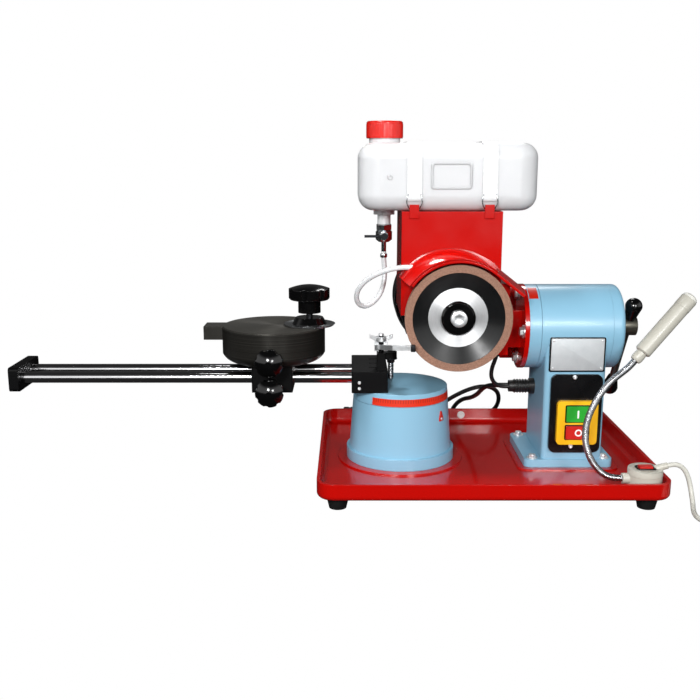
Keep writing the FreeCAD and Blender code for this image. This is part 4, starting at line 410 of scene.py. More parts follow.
FINISHES: list[Finish] = [
    # Stoved enamel on steel: deep glossy red with a faint orange peel that breaks up its highlights.
    Finish("red enamel", "#B60904", 0.16, "#AB0804", coat=0.3, spread=0.04, cloud_mm=70, grain_mm=4,
           relief_mm=0.02, edge_mm=1.2),
    # Machine enamel on castings: light blue with a soft gloss, over the casting's slow waves.
    Finish("blue enamel", "#84B3CB", 0.34, "#7DADC6", coat=0.08, spread=0.03, cloud_mm=90, grain_mm=6,
           relief_mm=0.02, edge_mm=1.4),
    # Black enamel on cast iron: dark satin, with a faint trace of the sand's grain under it.
    Finish("black machine enamel", "#050506", 0.42, "#080809", spread=0.03, grain_mm=1.6, relief_mm=0.004,
           edge_mm=0.9, sockets=dulled(0.13)),
    # Motor paint: dull black with dust on it.
    Finish("black motor paint", "#0A0A0B", 0.38, "#141416", grain_mm=1.4, relief_mm=0.03, edge_mm=0.5),
    # Hard chrome on ground bar: nearly a mirror, so each rod shows one bright line between two dark ones.
    Finish("hard chrome bar", "#DADADC", 0.15, "#D2D2D4", metallic=1.0, spread=0.02, cloud_mm=60,
           grain_mm=20, relief_mm=0.0, edge_mm=0.3),
    # Turned cast iron: nearly black wall with the tool's rings, and a paler face on top, which is a painted
    # sheen.
    PaintedSheenFinish("turned cast iron", "#0E0D0B", 0.4, "#62605B", metallic=0.6, spread=0.05, relief_mm=0.015,
                edge_mm=1.0, centre=SEAT_AXIS, axis=Way.UP, ring_mm=1.5, stretch=0.6, sockets=dulled(0.12)),
    # Turned steel: bright rings with a sharp shine.
    TurnedFinish("turned steel", "#C9CBCD", 0.22, "#B4B7BA", metallic=1.0, relief_mm=0.004,
                 centre=DISC_AXIS, axis=Way.UP, ring_mm=1.1, edge_mm=0.4),
    # Phenolic moulding: black and polished, with crisp highlights.
    Finish("black phenolic", "#040404", 0.13, "#070708", ior=1.5, spread=0.04, cloud_mm=25, grain_mm=6,
           relief_mm=0.02, edge_mm=1.0),
    # Blackened steel: dark with a dry sheen.
    Finish("blackened steel", "#1D1E20", 0.34, "#2A2C30", metallic=0.8, cloud_mm=12, relief_mm=0.006),
    # Resin-bonded abrasive: brown grains of several tones, dull and open.
    GritFinish("bonded abrasive", "#7C5A4A", 0.85, "#97725F", spread=0.05, grain_mm=0.9, relief_mm=0.15,
               edge_mm=0.5),
    # Resin wheel body: black, turned, with a broad sheen across its dish.
    TurnedFinish("black wheel resin", "#0B0B0C", 0.33, "#111213", relief_mm=0.006, centre=WHEEL_AXIS,
                 axis=Way.BACK, ring_mm=1.4, edge_mm=0.6, stretch=0.85),
    # Turned aluminium: bright rings round the spindle.
    TurnedFinish("turned aluminium", "#F0F1F2", 0.42, "#DDDFE1", metallic=0.9, relief_mm=0.006,
                 centre=WHEEL_AXIS, axis=Way.BACK, ring_mm=1.3, edge_mm=0.5, stretch=0.7),
    # Zinc plate: bright, faintly blue, mottled by the bath.
    Finish("zinc plate", "#EDEFF0", 0.36, "#DADDDF", metallic=0.85, cloud_mm=8, grain_mm=0.8,
           relief_mm=0.004, edge_mm=0.5),
    # Ground steel: grey and clean.
    Finish("ground steel", "#A9ABAD", 0.28, "#96989B", metallic=1.0, cloud_mm=16, grain_mm=0.7,
           relief_mm=0.006),
    # Oiled steel bar: olive grey under a film of oil.
    Finish("oiled steel bar", "#77756A", 0.35, "#66645B", metallic=0.85, cloud_mm=20, relief_mm=0.012),
    # Laminated core steel: dark blue-grey sheets.
    Finish("core steel", "#3B3F44", 0.5, "#2E3135", metallic=0.7, grain_mm=0.8, relief_mm=0.05),
    # Bearing bronze: warm and dull.
    Finish("bearing bronze", "#A9814A", 0.4, "#94703E", metallic=1.0, cloud_mm=14, relief_mm=0.015),
    # Blow-moulded polyethylene: milky white, with light that soaks in and softens its shadows.
    Finish("milky polyethylene", "#D3D4D5", 0.36, "#CBCDCF", spread=0.08, cloud_mm=60, grain_mm=3,
           relief_mm=0.05, edge_mm=1.6, sockets=soaked(0.5, 0.01)),
    # Clear-white strap: softer and shinier than the tank.
    Finish("white strap", "#DEDFDF", 0.28, "#D8D9DA", cloud_mm=18, grain_mm=0.9, relief_mm=0.03, edge_mm=0.5,
           sockets=soaked(0.3, 0.006)),
    # Injected polypropylene: bright orange red, shiny.
    Finish("red cap plastic", "#C81203", 0.16, "#C01103", cloud_mm=20, grain_mm=1.0, relief_mm=0.015,
           edge_mm=0.8),
    # Button plastics: satin mouldings with a fine spark texture.
    Finish("green button plastic", "#27A62F", 0.36, "#219429", cloud_mm=10, grain_mm=0.7, relief_mm=0.03),
    Finish("red button plastic", "#C71F17", 0.36, "#B01A14", cloud_mm=10, grain_mm=0.7, relief_mm=0.03),
    Finish("yellow frame plastic", "#F3BC14", 0.38, "#EAB110", cloud_mm=14, grain_mm=0.8, relief_mm=0.03,
           edge_mm=0.8),
    Finish("black switch plastic", "#060608", 0.26, "#09090B", spread=0.02, cloud_mm=40, grain_mm=0.8,
           relief_mm=0.01, edge_mm=0.9, sockets=dulled(0.35)),
    # White pigment, as printed on the buttons and moulded into the bung: plain and flat.
    Finish("white ink", "#F2F2F0", 0.5, "#E6E6E3", cloud_mm=5, grain_mm=0.5, relief_mm=0.01, edge_mm=0.1),
    # Moulded ABS: warm ivory with a soft shine.
    Finish("ivory plastic", "#B9B7AC", 0.3, "#B1AFA4", cloud_mm=30, grain_mm=0.9, relief_mm=0.005,
           edge_mm=1.2),
    # Frosted lens: pale and soft.
    Finish("frosted lens", "#F4F3EC", 0.45, "#E9E8E0", cloud_mm=8, grain_mm=0.8, relief_mm=0.03,
           sockets=(("Transmission Weight", 0.3),)),
    # Printed vinyl: orange red with dark division lines.
    ScaleFinish("red scale tape", "#CE2A08", 0.35, "#6A0F05", grain_mm=1.0, relief_mm=0.01, edge_mm=0.2,
                centre=TURRET_AXIS),
    # Plain vinyl: orange red with a soft shine.
    Finish("red sticker", "#C01F0B", 0.35, "#B11A09", cloud_mm=12, grain_mm=1.0, relief_mm=0.01,
           edge_mm=0.2),
    # Brushed plate: pale silver with a dry shine.
    Finish("brushed label plate", "#C3C7C9", 0.42, "#AEB3B6", metallic=0.35, cloud_mm=9, grain_mm=0.6,
           relief_mm=0.015, edge_mm=0.3),
    # Rubber sheath: dull black with a soft grey highlight along the top.
    Finish("black rubber", "#0C0C0C", 0.45, "#131313", cloud_mm=20, relief_mm=0.03, edge_mm=0.8),
    # White flex: warm white with a soft shine.
    Finish("white flex", "#C9C8BF", 0.4, "#BFBEB5", cloud_mm=25, relief_mm=0.01, edge_mm=0.2),
    # Silicone hose: milky and half clear, so its edges look greyer than its middle.
    Finish("milky hose", "#D6D8D9", 0.25, "#CCCFD1", cloud_mm=15, edge_mm=0.2, sockets=soaked(0.4, 0.004)),
    # Chrome: mirror bright with faint handling marks.
    Finish("chrome plate", "#D5D8DA", 0.12, "#C6CACD", metallic=1.0, spread=0.05, cloud_mm=12,
           relief_mm=0.004, edge_mm=0.4),
    # Woven tie: black and matte.
    Finish("black woven tie", "#1B1B1C", 0.8, "#262627", cloud_mm=6, grain_mm=0.7, relief_mm=0.15,
           edge_mm=0.3),
]

DRESS: dict[str, tuple[str, ...]] = {
    "red enamel": ("base_tray", "head_bracket", "wheel_guard"),
    "blue enamel": ("turret_base", "turret_top", "column", "column_end_cap", "swing_ring"),
    "black machine enamel": ("arm_block", "rail_end_plate", "carrier_block", "finger_post"),
    "black motor paint": ("motor_housing", "motor_fan_cowl"),
    "hard chrome bar": ("rail_rods",),
    "turned cast iron": ("blade_seat",),
    "turned steel": ("centring_disc",),
    "black phenolic": ("centring_cone", "clamp_knob", "seat_knob", "carrier_knob", "lever_grips",
                       "wheel_flange"),
    "blackened steel": ("clamp_stem", "valve_lever"),
    "bonded abrasive": ("abrasive_ring",),
    "black wheel resin": ("wheel_body",),
    "turned aluminium": ("wheel_core",),
    "zinc plate": ("flange_bolts", "finger_bar", "wing_nut"),
    "ground steel": ("pivot_shaft", "motor_bearings", "rotor"),
    "oiled steel bar": ("lever_bar",),
    "core steel": ("motor_stator",),
    "bearing bronze": ("pivot_bushes",),
    "milky polyethylene": ("tank",),
    "white strap": ("tank_straps",),
    "red cap plastic": ("tank_cap",),
    "green button plastic": ("start_button",),
    "red button plastic": ("stop_button", "lamp_rocker"),
    "yellow frame plastic": ("switch_frame",),
    "black switch plastic": ("switch_plate",),
    "ivory plastic": ("lamp_base", "lamp_head"),
    "black rubber": ("rubber_feet", "cable_gland"),
    "chrome plate": ("valve_body",),
}


# Shapes

def metres(points: Iterable[Point]) -> list[Vector]:
    """Points in millimetres as vectors in metres."""
    return [Vector(point) * MM for point in points]


def ring_face(mesh: Mesh, first: Sequence[Corner], second: Sequence[Corner]) -> None:
    """Join two rings of the same number of vertices with quads.

    Args:
        mesh: the mesh that has the vertices.
        first: vertices of one ring, in order.
        second: vertices of the other ring, in order.
    """
    count = len(first)
    for index in range(count):
        after = (index + 1) % count
        mesh.faces.new((first[index], first[after], second[after], second[index]))


def shell(rings: Sequence[Sequence[Point | Vector]], loop: bool = False) -> Mesh:
    """Closed skin over rings of points.

    Args:
        rings: rings of the same number of points, in millimetres.
        loop: whether the last ring joins the first, else both ends are closed flat.

    Returns:
        The mesh in metres.
    """
    mesh = bmesh.new()
    made = [[mesh.verts.new(Vector(point) * MM) for point in ring] for ring in rings]
    for first, second in zip(made, made[1:]):
        ring_face(mesh, first, second)
    if loop:
        ring_face(mesh, made[-1], made[0])
    else:
        mesh.faces.new(made[0])
        mesh.faces.new(made[-1])
    bmesh.ops.recalc_face_normals(mesh, faces=mesh.faces)
    return mesh


def circle(radius: float, height: float, sides: int = 48, corners: int = 0,
           ribs: float = 0.0) -> list[Point]:
    """Ring of points round Z.

    Args:
        radius: radius, or half the width across flats where it has corners.
        height: height above the origin.
        sides: number of points.
        corners: number of flats, or nought for a round ring.
        ribs: height of ribs, one to every four points.

    Returns:
        The points in millimetres.
    """
    points = []
    for step in range(sides):
        turn = 2 * math.pi * step / sides
        reach = radius + (ribs if step % 4 in (0, 1) else 0.0)
        if corners:
            flat = 2 * math.pi / corners
            reach = radius / math.cos((turn + flat / 2) % flat - flat / 2)
        points.append((reach * math.cos(turn), reach * math.sin(turn), height))
    return points


def lathe(profile: Sequence[Pair], sides: int = 48, loop: bool = False) -> Mesh:
    """Turn a profile of radius and height round Z, closed flat at its ends or into a ring."""
    return shell([circle(radius, height, sides) for radius, height in profile], loop)


def turned_rib(radius: float, start: float, rise: float, ends: Point) -> list[Pair]:
    """Profile of one rib or groove of a turned piece.

    Args:
        radius: radius beside the rib, in millimetres.
        start: height where the rib starts, in millimetres.
        rise: how far it stands out, or less than nought for a groove.
        ends: heights above its start where it is full, where it falls off and where it ends.

    Returns:
        Its four points of radius and height.
    """
    full, fall, end = (start + part for part in ends)
    return [(radius, start), (radius + rise, full), (radius + rise, fall), (radius, end)]


def plate(outline: Sequence[Pair], thick: float, edge: float, sunk: float = 0.2) -> Mesh:
    """Flat plate with a softened face, standing on the plane of X and Y.

    Args:
        outline: corners in order, in millimetres.
        thick: thickness upwards along Z, in millimetres.
        edge: radius of its face's edge, in millimetres.
        sunk: how far it reaches below the plane, in millimetres.

    Returns:
        The plate's mesh in metres.
    """
    mesh = bmesh.new()
    floor = mesh.faces.new([mesh.verts.new((x * MM, y * MM, -sunk * MM)) for x, y in outline])
    made = bmesh.ops.extrude_face_region(mesh, geom=[floor])["geom"]
    raised = [item for item in made if isinstance(item, Corner)]
    bmesh.ops.translate(mesh, verts=raised, vec=(0, 0, (thick + sunk) * MM))
    top = [item for item in mesh.edges if all(corner.co.z > thick * MM / 2 for corner in item.verts)]
    bmesh.ops.bevel(mesh, geom=top, offset=edge * MM, segments=3, profile=0.5, affect="EDGES")
    bmesh.ops.recalc_face_normals(mesh, faces=mesh.faces)
    return mesh


def rounded(width: float, height: float, corner: float, steps: int = 6) -> list[Pair]:
    """Outline of a rectangle with round corners about the origin.

    Args:
        width: size along X, in millimetres.
        height: size along Y, in millimetres.
        corner: radius of its corners, in millimetres.
        steps: lines in each corner.

    Returns:
        The outline's points in order.
    """
    points = []
    for number, (side, rise) in enumerate(((1, 1), (-1, 1), (-1, -1), (1, -1))):
        for step in range(steps + 1):
            turn = math.pi / 2 * (number + step / steps)
            points.append((side * (width / 2 - corner) + corner * math.cos(turn),
                           rise * (height / 2 - corner) + corner * math.sin(turn)))
    return points


def rim(outer: Sequence[Pair], inner: Sequence[Pair], thick: float,
        sunk: float = 0.2) -> Mesh:
    """Flat frame between two outlines of the same number of points, with its face softly crowned.

    Args:
        outer: outside corners, in millimetres.
        inner: inside corners, in millimetres.
        thick: height of the face.
        sunk: how far it reaches below the plane.

    Returns:
        The frame's mesh in metres.
    """
    def between(share: float, height: float) -> list[Point]:
        """Outline a share of the way inwards, at a height."""
        return [(a[0] + (b[0] - a[0]) * share, a[1] + (b[1] - a[1]) * share, height)
                for a, b in zip(outer, inner)]

    return shell([between(0, -sunk), between(0, thick * 0.6), between(0.2, thick), between(0.8, thick),
                  between(1, thick * 0.6), between(1, -sunk)], loop=True)


def wrap(radius: Callable[[float], float], heights: Pair, turns: Pair,
         thick: float) -> Mesh:
    """Thin band on a turned wall round Z.

    Args:
        radius: the wall's radius at a height, in millimetres.
        heights: lower and upper edge of the band.
        turns: start and end of the band, in degrees.
        thick: how far it stands off the wall.

    Returns:
        The band's mesh in metres.
    """
    steps = max(8, int(abs(turns[1] - turns[0]) / 2))
    section = [(heights[0], -0.2), (heights[0], thick), (heights[1], thick), (heights[1], -0.2)]
    rings = []
    for step in range(steps + 1):
        turn = math.radians(turns[0] + (turns[1] - turns[0]) * step / steps)
        ring = []
        for height, lift in section:
            reach = radius(height) + lift
            ring.append((reach * math.cos(turn), reach * math.sin(turn), height))
        rings.append(ring)
    return shell(rings)


def tube(path: Sequence[Vector], radius: Callable[[float], float], sides: int = 20) -> Mesh:
    """Tube along a line of close points.

    Args:
        path: points in metres.
        radius: radius in millimetres at a distance in millimetres from the start.
        sides: facets round.

    Returns:
        The tube's mesh with closed ends.
    """
    side = Vector((0.3, 1, 0.2))
    travelled = 0.0
    rings = []
    for index, point in enumerate(path):
        heading = (path[min(index + 1, len(path) - 1)] - path[max(index - 1, 0)]).normalized()
        side = (side - heading * side.dot(heading)).normalized()
        other = heading.cross(side)
        if index:
            travelled += (point - path[index - 1]).length / MM
        turns = [2 * math.pi * step / sides for step in range(sides)]
        rings.append([point / MM + (side * math.cos(turn) + other * math.sin(turn)) * radius(travelled)
                      for turn in turns])
    return shell(rings)


def facing(place: Point | Vector, way: Way | Vector) -> Matrix:
    """Matrix that takes Z to a way at a place.

    Args:
        place: where the origin goes, in millimetres.
        way: where Z points.

    Returns:
        The matrix in metres.
    """
    ahead = Vector(way.value if isinstance(way, Way) else way).normalized()
    upright = Vector((0, 0, 1)) if abs(ahead.z) < 0.9 else Vector((0, 1, 0))
    right = upright.cross(ahead).normalized()
    basis = Matrix((right, ahead.cross(right), ahead)).transposed().to_4x4()
    return Matrix.Translation(Vector(place) * MM) @ basis


def spline(name: str, points: Sequence[Vector], radius: float = 0.0) -> Item:
    """Smooth cord curve with the route's points as its control points.

    Args:
        name: name of the curve object.
        points: control points in metres.
        radius: radius of the cord in millimetres, or nought for the bare line.

    Returns:
        The curve object, linked to the scene.
    """
    curve = bpy.data.curves.new(name, "CURVE")
    curve.dimensions = "3D"
    line = curve.splines.new("NURBS")
    line.points.add(len(points) - 1)
    for slot, point in zip(line.points, points):
        slot.co = (*point, 1.0)
    line.order_u = 3
    line.use_endpoint_u = True
    line.resolution_u = 8
    curve.bevel_depth = radius * MM
    curve.bevel_resolution = 5
    curve.use_fill_caps = radius > 0
    made = bpy.data.objects.new(name, curve)
    bpy.context.scene.collection.objects.link(made)
    return made


def along(points: Sequence[Vector], fineness: int) -> list[Vector]:
    """Points along the smooth line of a route.

    Args:
        points: control points in metres.
        fineness: points between each two control points.

    Returns:
        The line's points in order.
    """
    guide = spline("guide", points)
    guide.data.splines[0].resolution_u = fineness
    bpy.context.view_layer.update()
    mesh = bpy.data.meshes.new_from_object(guide)
    found = [vertex.co.copy() for vertex in mesh.vertices]
    bpy.data.meshes.remove(mesh)
    bpy.data.objects.remove(guide)
    return found


@dataclass
class Workshop:
    """Makes the finishes once, and turns meshes into pieces that ride on a body.

    Attributes:
        finishes: each finish's material, by its name.
    """

    finishes: dict[str, bpy.types.Material] = field(default_factory=dict)

    def stock(self, finishes: Iterable[Finish]) -> None:
        """Build each finish under its name."""
        for finish in finishes:
            self.finishes[finish.name] = finish.build()

    def dress(self, nodes: dict[str, tuple[str, ...]]) -> None:
        """Give each CAD node its finish.

        Args:
            nodes: finish name to the nodes that have it.
        """
        for finish, names in nodes.items():
            for name in names:
                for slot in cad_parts[name].material_slots:
                    slot.material = self.finishes[finish]

    def piece(self, name: str, mesh: Mesh, finish: str, body: Body | None, slot: str,
              place: Matrix | None = None) -> Item:
        """Turn a mesh into a finished piece.

        Args:
            name: the piece's name.
            mesh: its shape, which is freed.
            finish: name of its finish.
            body: the body it rides on, or None for a piece left on no body, such as a lead that runs between
                two.
            slot: the record's material slot; not used.
            place: where the shape goes, or None where it is already in place.

        Returns:
            The new object.
        """
        if place is not None:
            mesh.transform(place)
        data = bpy.data.meshes.new(name)
        mesh.to_mesh(data)
        mesh.free()
        data.materials.append(self.finishes[finish])
        data.polygons.foreach_set("use_smooth", [True] * len(data.polygons))
        data.set_sharp_from_angle(angle=SMOOTH_ANGLE)
        made = bpy.data.objects.new(name, data)
        bpy.context.scene.collection.objects.link(made)
        if body is not None:
            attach(made, body.value)
        LOG.info("made %s", name)
        return made

    def curve(self, made: Item, finish: str, body: Body, slot: str) -> Item:
        """Finish a curve and let it ride on a body.

        Args:
            made: the curve object.
            finish: name of its finish.
            body: the body it rides on.
            slot: the record's material slot; not used.

        Returns:
            The same object.
        """
        made.data.materials.append(self.finishes[finish])
        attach(made, body.value)
        LOG.info("made %s", made.name)
        return made

    def screw(self, name: str, place: Point, way: Way, radius: float, body: Body,
              finish: str = "zinc plate") -> None:
        """Cap screw head with a hexagon socket, standing on a face.

        Args:
            name: the piece's name.
            place: middle of the seat, in millimetres.
            way: way out of the face.
            radius: radius of the head in millimetres.
            body: the body it rides on.
            finish: name of its finish.
        """
        tall = radius * 0.9
        rings = [circle(radius, -0.3), circle(radius, tall * 0.8), circle(radius * 0.95, tall * 0.94),
                 circle(radius * 0.86, tall), circle(radius * 0.5, tall, corners=6),
                 circle(radius * 0.48, tall * 0.92, corners=6), circle(radius * 0.48, tall * 0.4, corners=6)]
        self.piece(name, shell(rings), finish, body, "steel", facing(place, way))

    def hexagon(self, name: str, place: Point, way: Way, flats: float, tall: float, body: Body,
                finish: str = "zinc plate") -> None:
        """Hexagon nut or bolt head with chamfered corners on a round washer.

        Args:
            name: the piece's name.
            place: middle of the washer's seat, in millimetres.
            way: way out of the face.
            flats: half the width across flats, in millimetres.
            tall: height of the head, in millimetres.
            body: the body it rides on.
            finish: name of its finish.
        """
        rings = [circle(flats * 1.7, -0.2), circle(flats * 1.7, 0.9), circle(flats * 1.6, 1.2),
                 circle(flats, 1.2, corners=6), circle(flats, 0.8 + tall * 0.85, corners=6),
                 circle(flats * 0.98, 1.2 + tall), circle(flats * 0.55, 1.2 + tall),
                 circle(flats * 0.5, tall * 1.1 + 1.2)]
        self.piece(name, shell(rings), finish, body, "steel", facing(place, way))


# The base: tray, turret, column and lamp

@dataclass
class Tray:
    """Trim of the drip tray.

    Attributes:
        shop: the workshop that makes its pieces.
        centre: middle of the tray's floor.
        inside: length and depth between its walls.
        corner: radius of its upright corners.
        cove: radius between its floor and its walls.
        sunk: how far the cove reaches into them.
        arc_steps: lines in each round corner.
        drain: middle of the drain hole.
    """

    shop: Workshop
    centre: Point = (174.5, 0.0, 17.0)
    inside: Pair = (394.0, 306.0)
    corner: float = 16.0
    cove: float = 6.0
    sunk: float = 0.4
    arc_steps: int = 8
    drain: Point = (172.6, 153.0, 27.0)

    def pressed_corner(self) -> None:
        """Rounded corner between floor and walls, as the press leaves it."""
        section = [(-self.sunk, -self.sunk), (-self.sunk, self.cove)]
        for step in range(self.arc_steps + 1):
            turn = math.pi / 2 * step / self.arc_steps
            section.append((self.cove * (1 - math.cos(turn)), self.cove * (1 - math.sin(turn))))
        section.append((self.cove, -self.sunk))
        rings = []
        for inset, height in section:
            wide, deep = (side - 2 * inset for side in self.inside)
            outline = rounded(wide, deep, self.corner - inset, self.arc_steps)
            rings.append([(self.centre[0] + x, self.centre[1] + y, self.centre[2] + height)
                          for x, y in outline])
        self.shop.piece("tray_cove", shell(rings, loop=True), "red enamel", Body.BASE, "red_enamel")

    def drain_plug(self) -> None:
        """White bung in the drain hole of the back wall."""
        profile = [(5.4, -0.5), (5.4, 0.8), (4.9, 1.4), (3.2, 1.6), (2.6, 1.1), (1.0, 1.0)]
        self.shop.piece("drain_bung", lathe(profile, 36), "white ink", Body.BASE, "tank_white",
                        facing(self.drain, Way.FRONT))

    def build(self) -> None:
        """Make the tray's trim."""
        self.pressed_corner()
        self.drain_plug()


@dataclass
class Turret:
    """Scale and pointer of the turret.

    Attributes:
        shop: the workshop that makes its pieces.
        axis: a point of its axis.
        foot: radius of its cone, and the height where that is measured.
        slope: how much narrower the cone is for each millimetre upwards.
        tape: lower and upper edge of the scale.
        tape_turns: start and end of the scale, in degrees.
        tape_thick: thickness of the scale.
        pointer_turn: where the pointer is, in degrees.
        pointer_height: height of the pointer's middle.
        rivet_drop: how far its rivet is below that.
    """

    shop: Workshop
    axis: Point = TURRET_AXIS
    foot: Pair = (64.5, 33.0)
    slope: float = 0.0745
    tape: Pair = (97.9, 107.0)
    tape_turns: Pair = (-128.0, -8.0)
    tape_thick: float = 0.35
    pointer_turn: float = -38.0
    pointer_height: float = 80.5
    rivet_drop: float = 3.2

    def radius(self, height: float) -> float:
        """Radius of the cone at a height."""
        return self.foot[0] - self.slope * (height - self.foot[1])

    def scale(self) -> None:
        """Printed tape round the turning top."""
        band = wrap(self.radius, self.tape, self.tape_turns, self.tape_thick)
        self.shop.piece("angle_scale", band, "red scale tape", Body.ARM, "red_plastic",
                        facing(self.axis, Way.UP))

    def pointer(self) -> None:
        """Red arrow that points at the scale, with its rivet."""
        turn = math.radians(self.pointer_turn)
        out = Vector((math.cos(turn), math.sin(turn), self.slope))
        place = (self.axis[0] + self.radius(self.pointer_height) * math.cos(turn),
                 self.radius(self.pointer_height) * math.sin(turn), self.pointer_height)
        outline = [(-4.2, -6.0), (4.2, -6.0), (4.2, -2.2), (1.2, 6.5), (-1.2, 6.5), (-4.2, -2.2)]
        self.shop.piece("scale_pointer", plate(outline, 1.0, 0.3, 0.6), "red sticker", Body.BASE,
                        "red_plastic", facing(place, out))
        rivet = [(1.9, 0.4), (1.9, 1.4), (1.5, 1.9), (0.6, 2.1)]
        self.shop.piece("pointer_rivet", lathe(rivet, 24), "zinc plate", Body.BASE, "steel",
                        facing((place[0], place[1], place[2] - self.rivet_drop), out))

    def build(self) -> None:
        """Make the turret's trim."""
        self.scale()
        self.pointer()


@dataclass
class Column:
    """Label plate, foot bolts, trim of the switch and ribs of the cable gland.

    Attributes:
        shop: the workshop that makes its pieces.
        label: middle of the label plate on the column's wall.
        label_size: width and height of the plate with its border.
        label_border: width of the border.
        label_rivet: distance of the rivets from the border's edge.
        label_face: height of the rivets' seats.
        foot_bolts: seats of the bolts.
        foot_bolt: half the width across a bolt head's flats, and its height.
        plate_screws: seats of the switch plate's screws.
        plate_screw: radius of their heads.
        start_mark: middle of the mark on the start button.
        stop_mark: middle of the mark on the stop button.
        button_width: width of both buttons.
        button_shade_rims: each rim's name, the height of its middle and its button's height; each rim is a
            dark band of painted shade round its button.
        shade_rim_gap: how much wider a shade rim's inside is than its button.
        shade_rim_reach: how much wider its outside is.
        shade_rim_face: where the painted shade rims stand.
        gland: where the cable gland leaves the column.
        gland_radius: radius of the gland.
        gland_ribs: number of its ribs.
        gland_start: distance of the first rib from the column.
        gland_pitch: spacing of the ribs.
    """

    shop: Workshop
    label: Point = (284.5, -50.0, 161.3)
    label_size: Pair = (67.0, 42.5)
    label_border: float = 1.7
    label_rivet: float = 4.5
    label_face: float = 2.5
    foot_bolts: tuple[Point, ...] = ((237.0, -44.0, 29.0), (324.5, -44.0, 29.0), (237.0, 50.0, 29.0),
                                     (324.5, 50.0, 29.0))
    foot_bolt: Pair = (4.0, 3.6)
    plate_screws: tuple[Point, ...] = ((282.2, -54.0, 134.0), (281.0, -54.0, 47.5))
    plate_screw: float = 2.6
    start_mark: Point = (286.5, -63.0, 89.7)
    stop_mark: Point = (287.8, -63.0, 66.6)
    button_width: float = 27.4
    button_shade_rims: tuple[tuple[str, float, float], ...] = (("start_shade_rim", 89.7, 19.4), ("stop_shade_rim", 66.6, 16.4))
    shade_rim_gap: float = 0.5
    shade_rim_reach: float = 2.8
    shade_rim_face: float = -60.5
    gland: Point = (247.0, 14.0, 106.0)
    gland_radius: float = 8.0
    gland_ribs: int = 5
    gland_start: float = 9.0
    gland_pitch: float = 3.6

    def label_plate(self) -> None:
        """Bare plate with a dark border and a rivet in each corner."""
        wide, tall = self.label_size
        place = facing(self.label, Way.FRONT)
        self.shop.piece("label_border", plate(rounded(wide, tall, 2.0), 2.3, 0.3), "black switch plastic",
                        Body.BASE, "black_plastic", place)
        bare = rounded(wide - 2 * self.label_border, tall - 2 * self.label_border, 1.4)
        self.shop.piece("label_plate", plate(bare, 2.6, 0.3), "brushed label plate", Body.BASE,
                        "bare_aluminium", place)
        rivet = [(1.3, 0.0), (1.3, 0.5), (1.0, 0.9), (0.4, 1.1)]
        corners = rounded(wide - 2 * self.label_rivet, tall - 2 * self.label_rivet, 0.1, 1)[::2]
        for number, (x, y) in enumerate(corners):
            spot = (self.label[0] + x, self.label[1] - self.label_face, self.label[2] + y)
            self.shop.piece(f"label_rivet_{number + 1}", lathe(rivet, 20), "zinc plate", Body.BASE, "steel",
                            facing(spot, Way.FRONT))

    def switch_trim(self) -> None:
        """Screws on the switch plate, dark rims of painted shade round its buttons, and the marks on them.
        """
        for number, place in enumerate(self.plate_screws):
            self.shop.screw(f"switch_screw_{number + 1}", place, Way.FRONT, self.plate_screw, Body.BASE)
        # The dark rims are painted shade: they stand for the shadowed gap round each button.
        for name, height, tall in self.button_shade_rims:
            outer = rounded(self.button_width + self.shade_rim_reach, tall + self.shade_rim_reach, 1.8)
            inner = rounded(self.button_width + self.shade_rim_gap, tall + self.shade_rim_gap, 0.8)
            self.shop.piece(name, rim(outer, inner, 0.4), "black switch plastic", Body.BASE, "black_plastic",
                            facing((self.start_mark[0], self.shade_rim_face, height), Way.FRONT))
        self.shop.piece("start_mark", plate(rounded(2.0, 10.0, 0.8), 0.35, 0.15), "white ink", Body.START,
                        "tank_white", facing(self.start_mark, Way.FRONT))
        ring = [(4.4, -0.2), (4.4, 0.25), (4.2, 0.35), (2.9, 0.35), (2.7, 0.25), (2.7, -0.2)]
        self.shop.piece("stop_mark", lathe(ring, 40, loop=True), "white ink", Body.STOP, "tank_white",
                        facing(self.stop_mark, Way.FRONT))

    def gland_grip(self) -> None:
        """Grip ribs round the cable gland."""
        profile = [(7.4, 8.0)]
        for number in range(self.gland_ribs):
            start = self.gland_start + self.gland_pitch * number
            profile += turned_rib(self.gland_radius, start, 0.9, (0.6, 1.6, 2.2))
        profile.append((7.4, 28.0))
        self.shop.piece("gland_ribs", lathe(profile, 40, loop=True), "black rubber", Body.BASE, "rubber",
                        facing(self.gland, Way.LEFT))

    def build(self) -> None:
        """Make the column's trim."""
        self.label_plate()
        self.switch_trim()
        self.gland_grip()
        for number, place in enumerate(self.foot_bolts):
            self.shop.hexagon(f"foot_bolt_{number + 1}", place, Way.UP, *self.foot_bolt, Body.BASE)


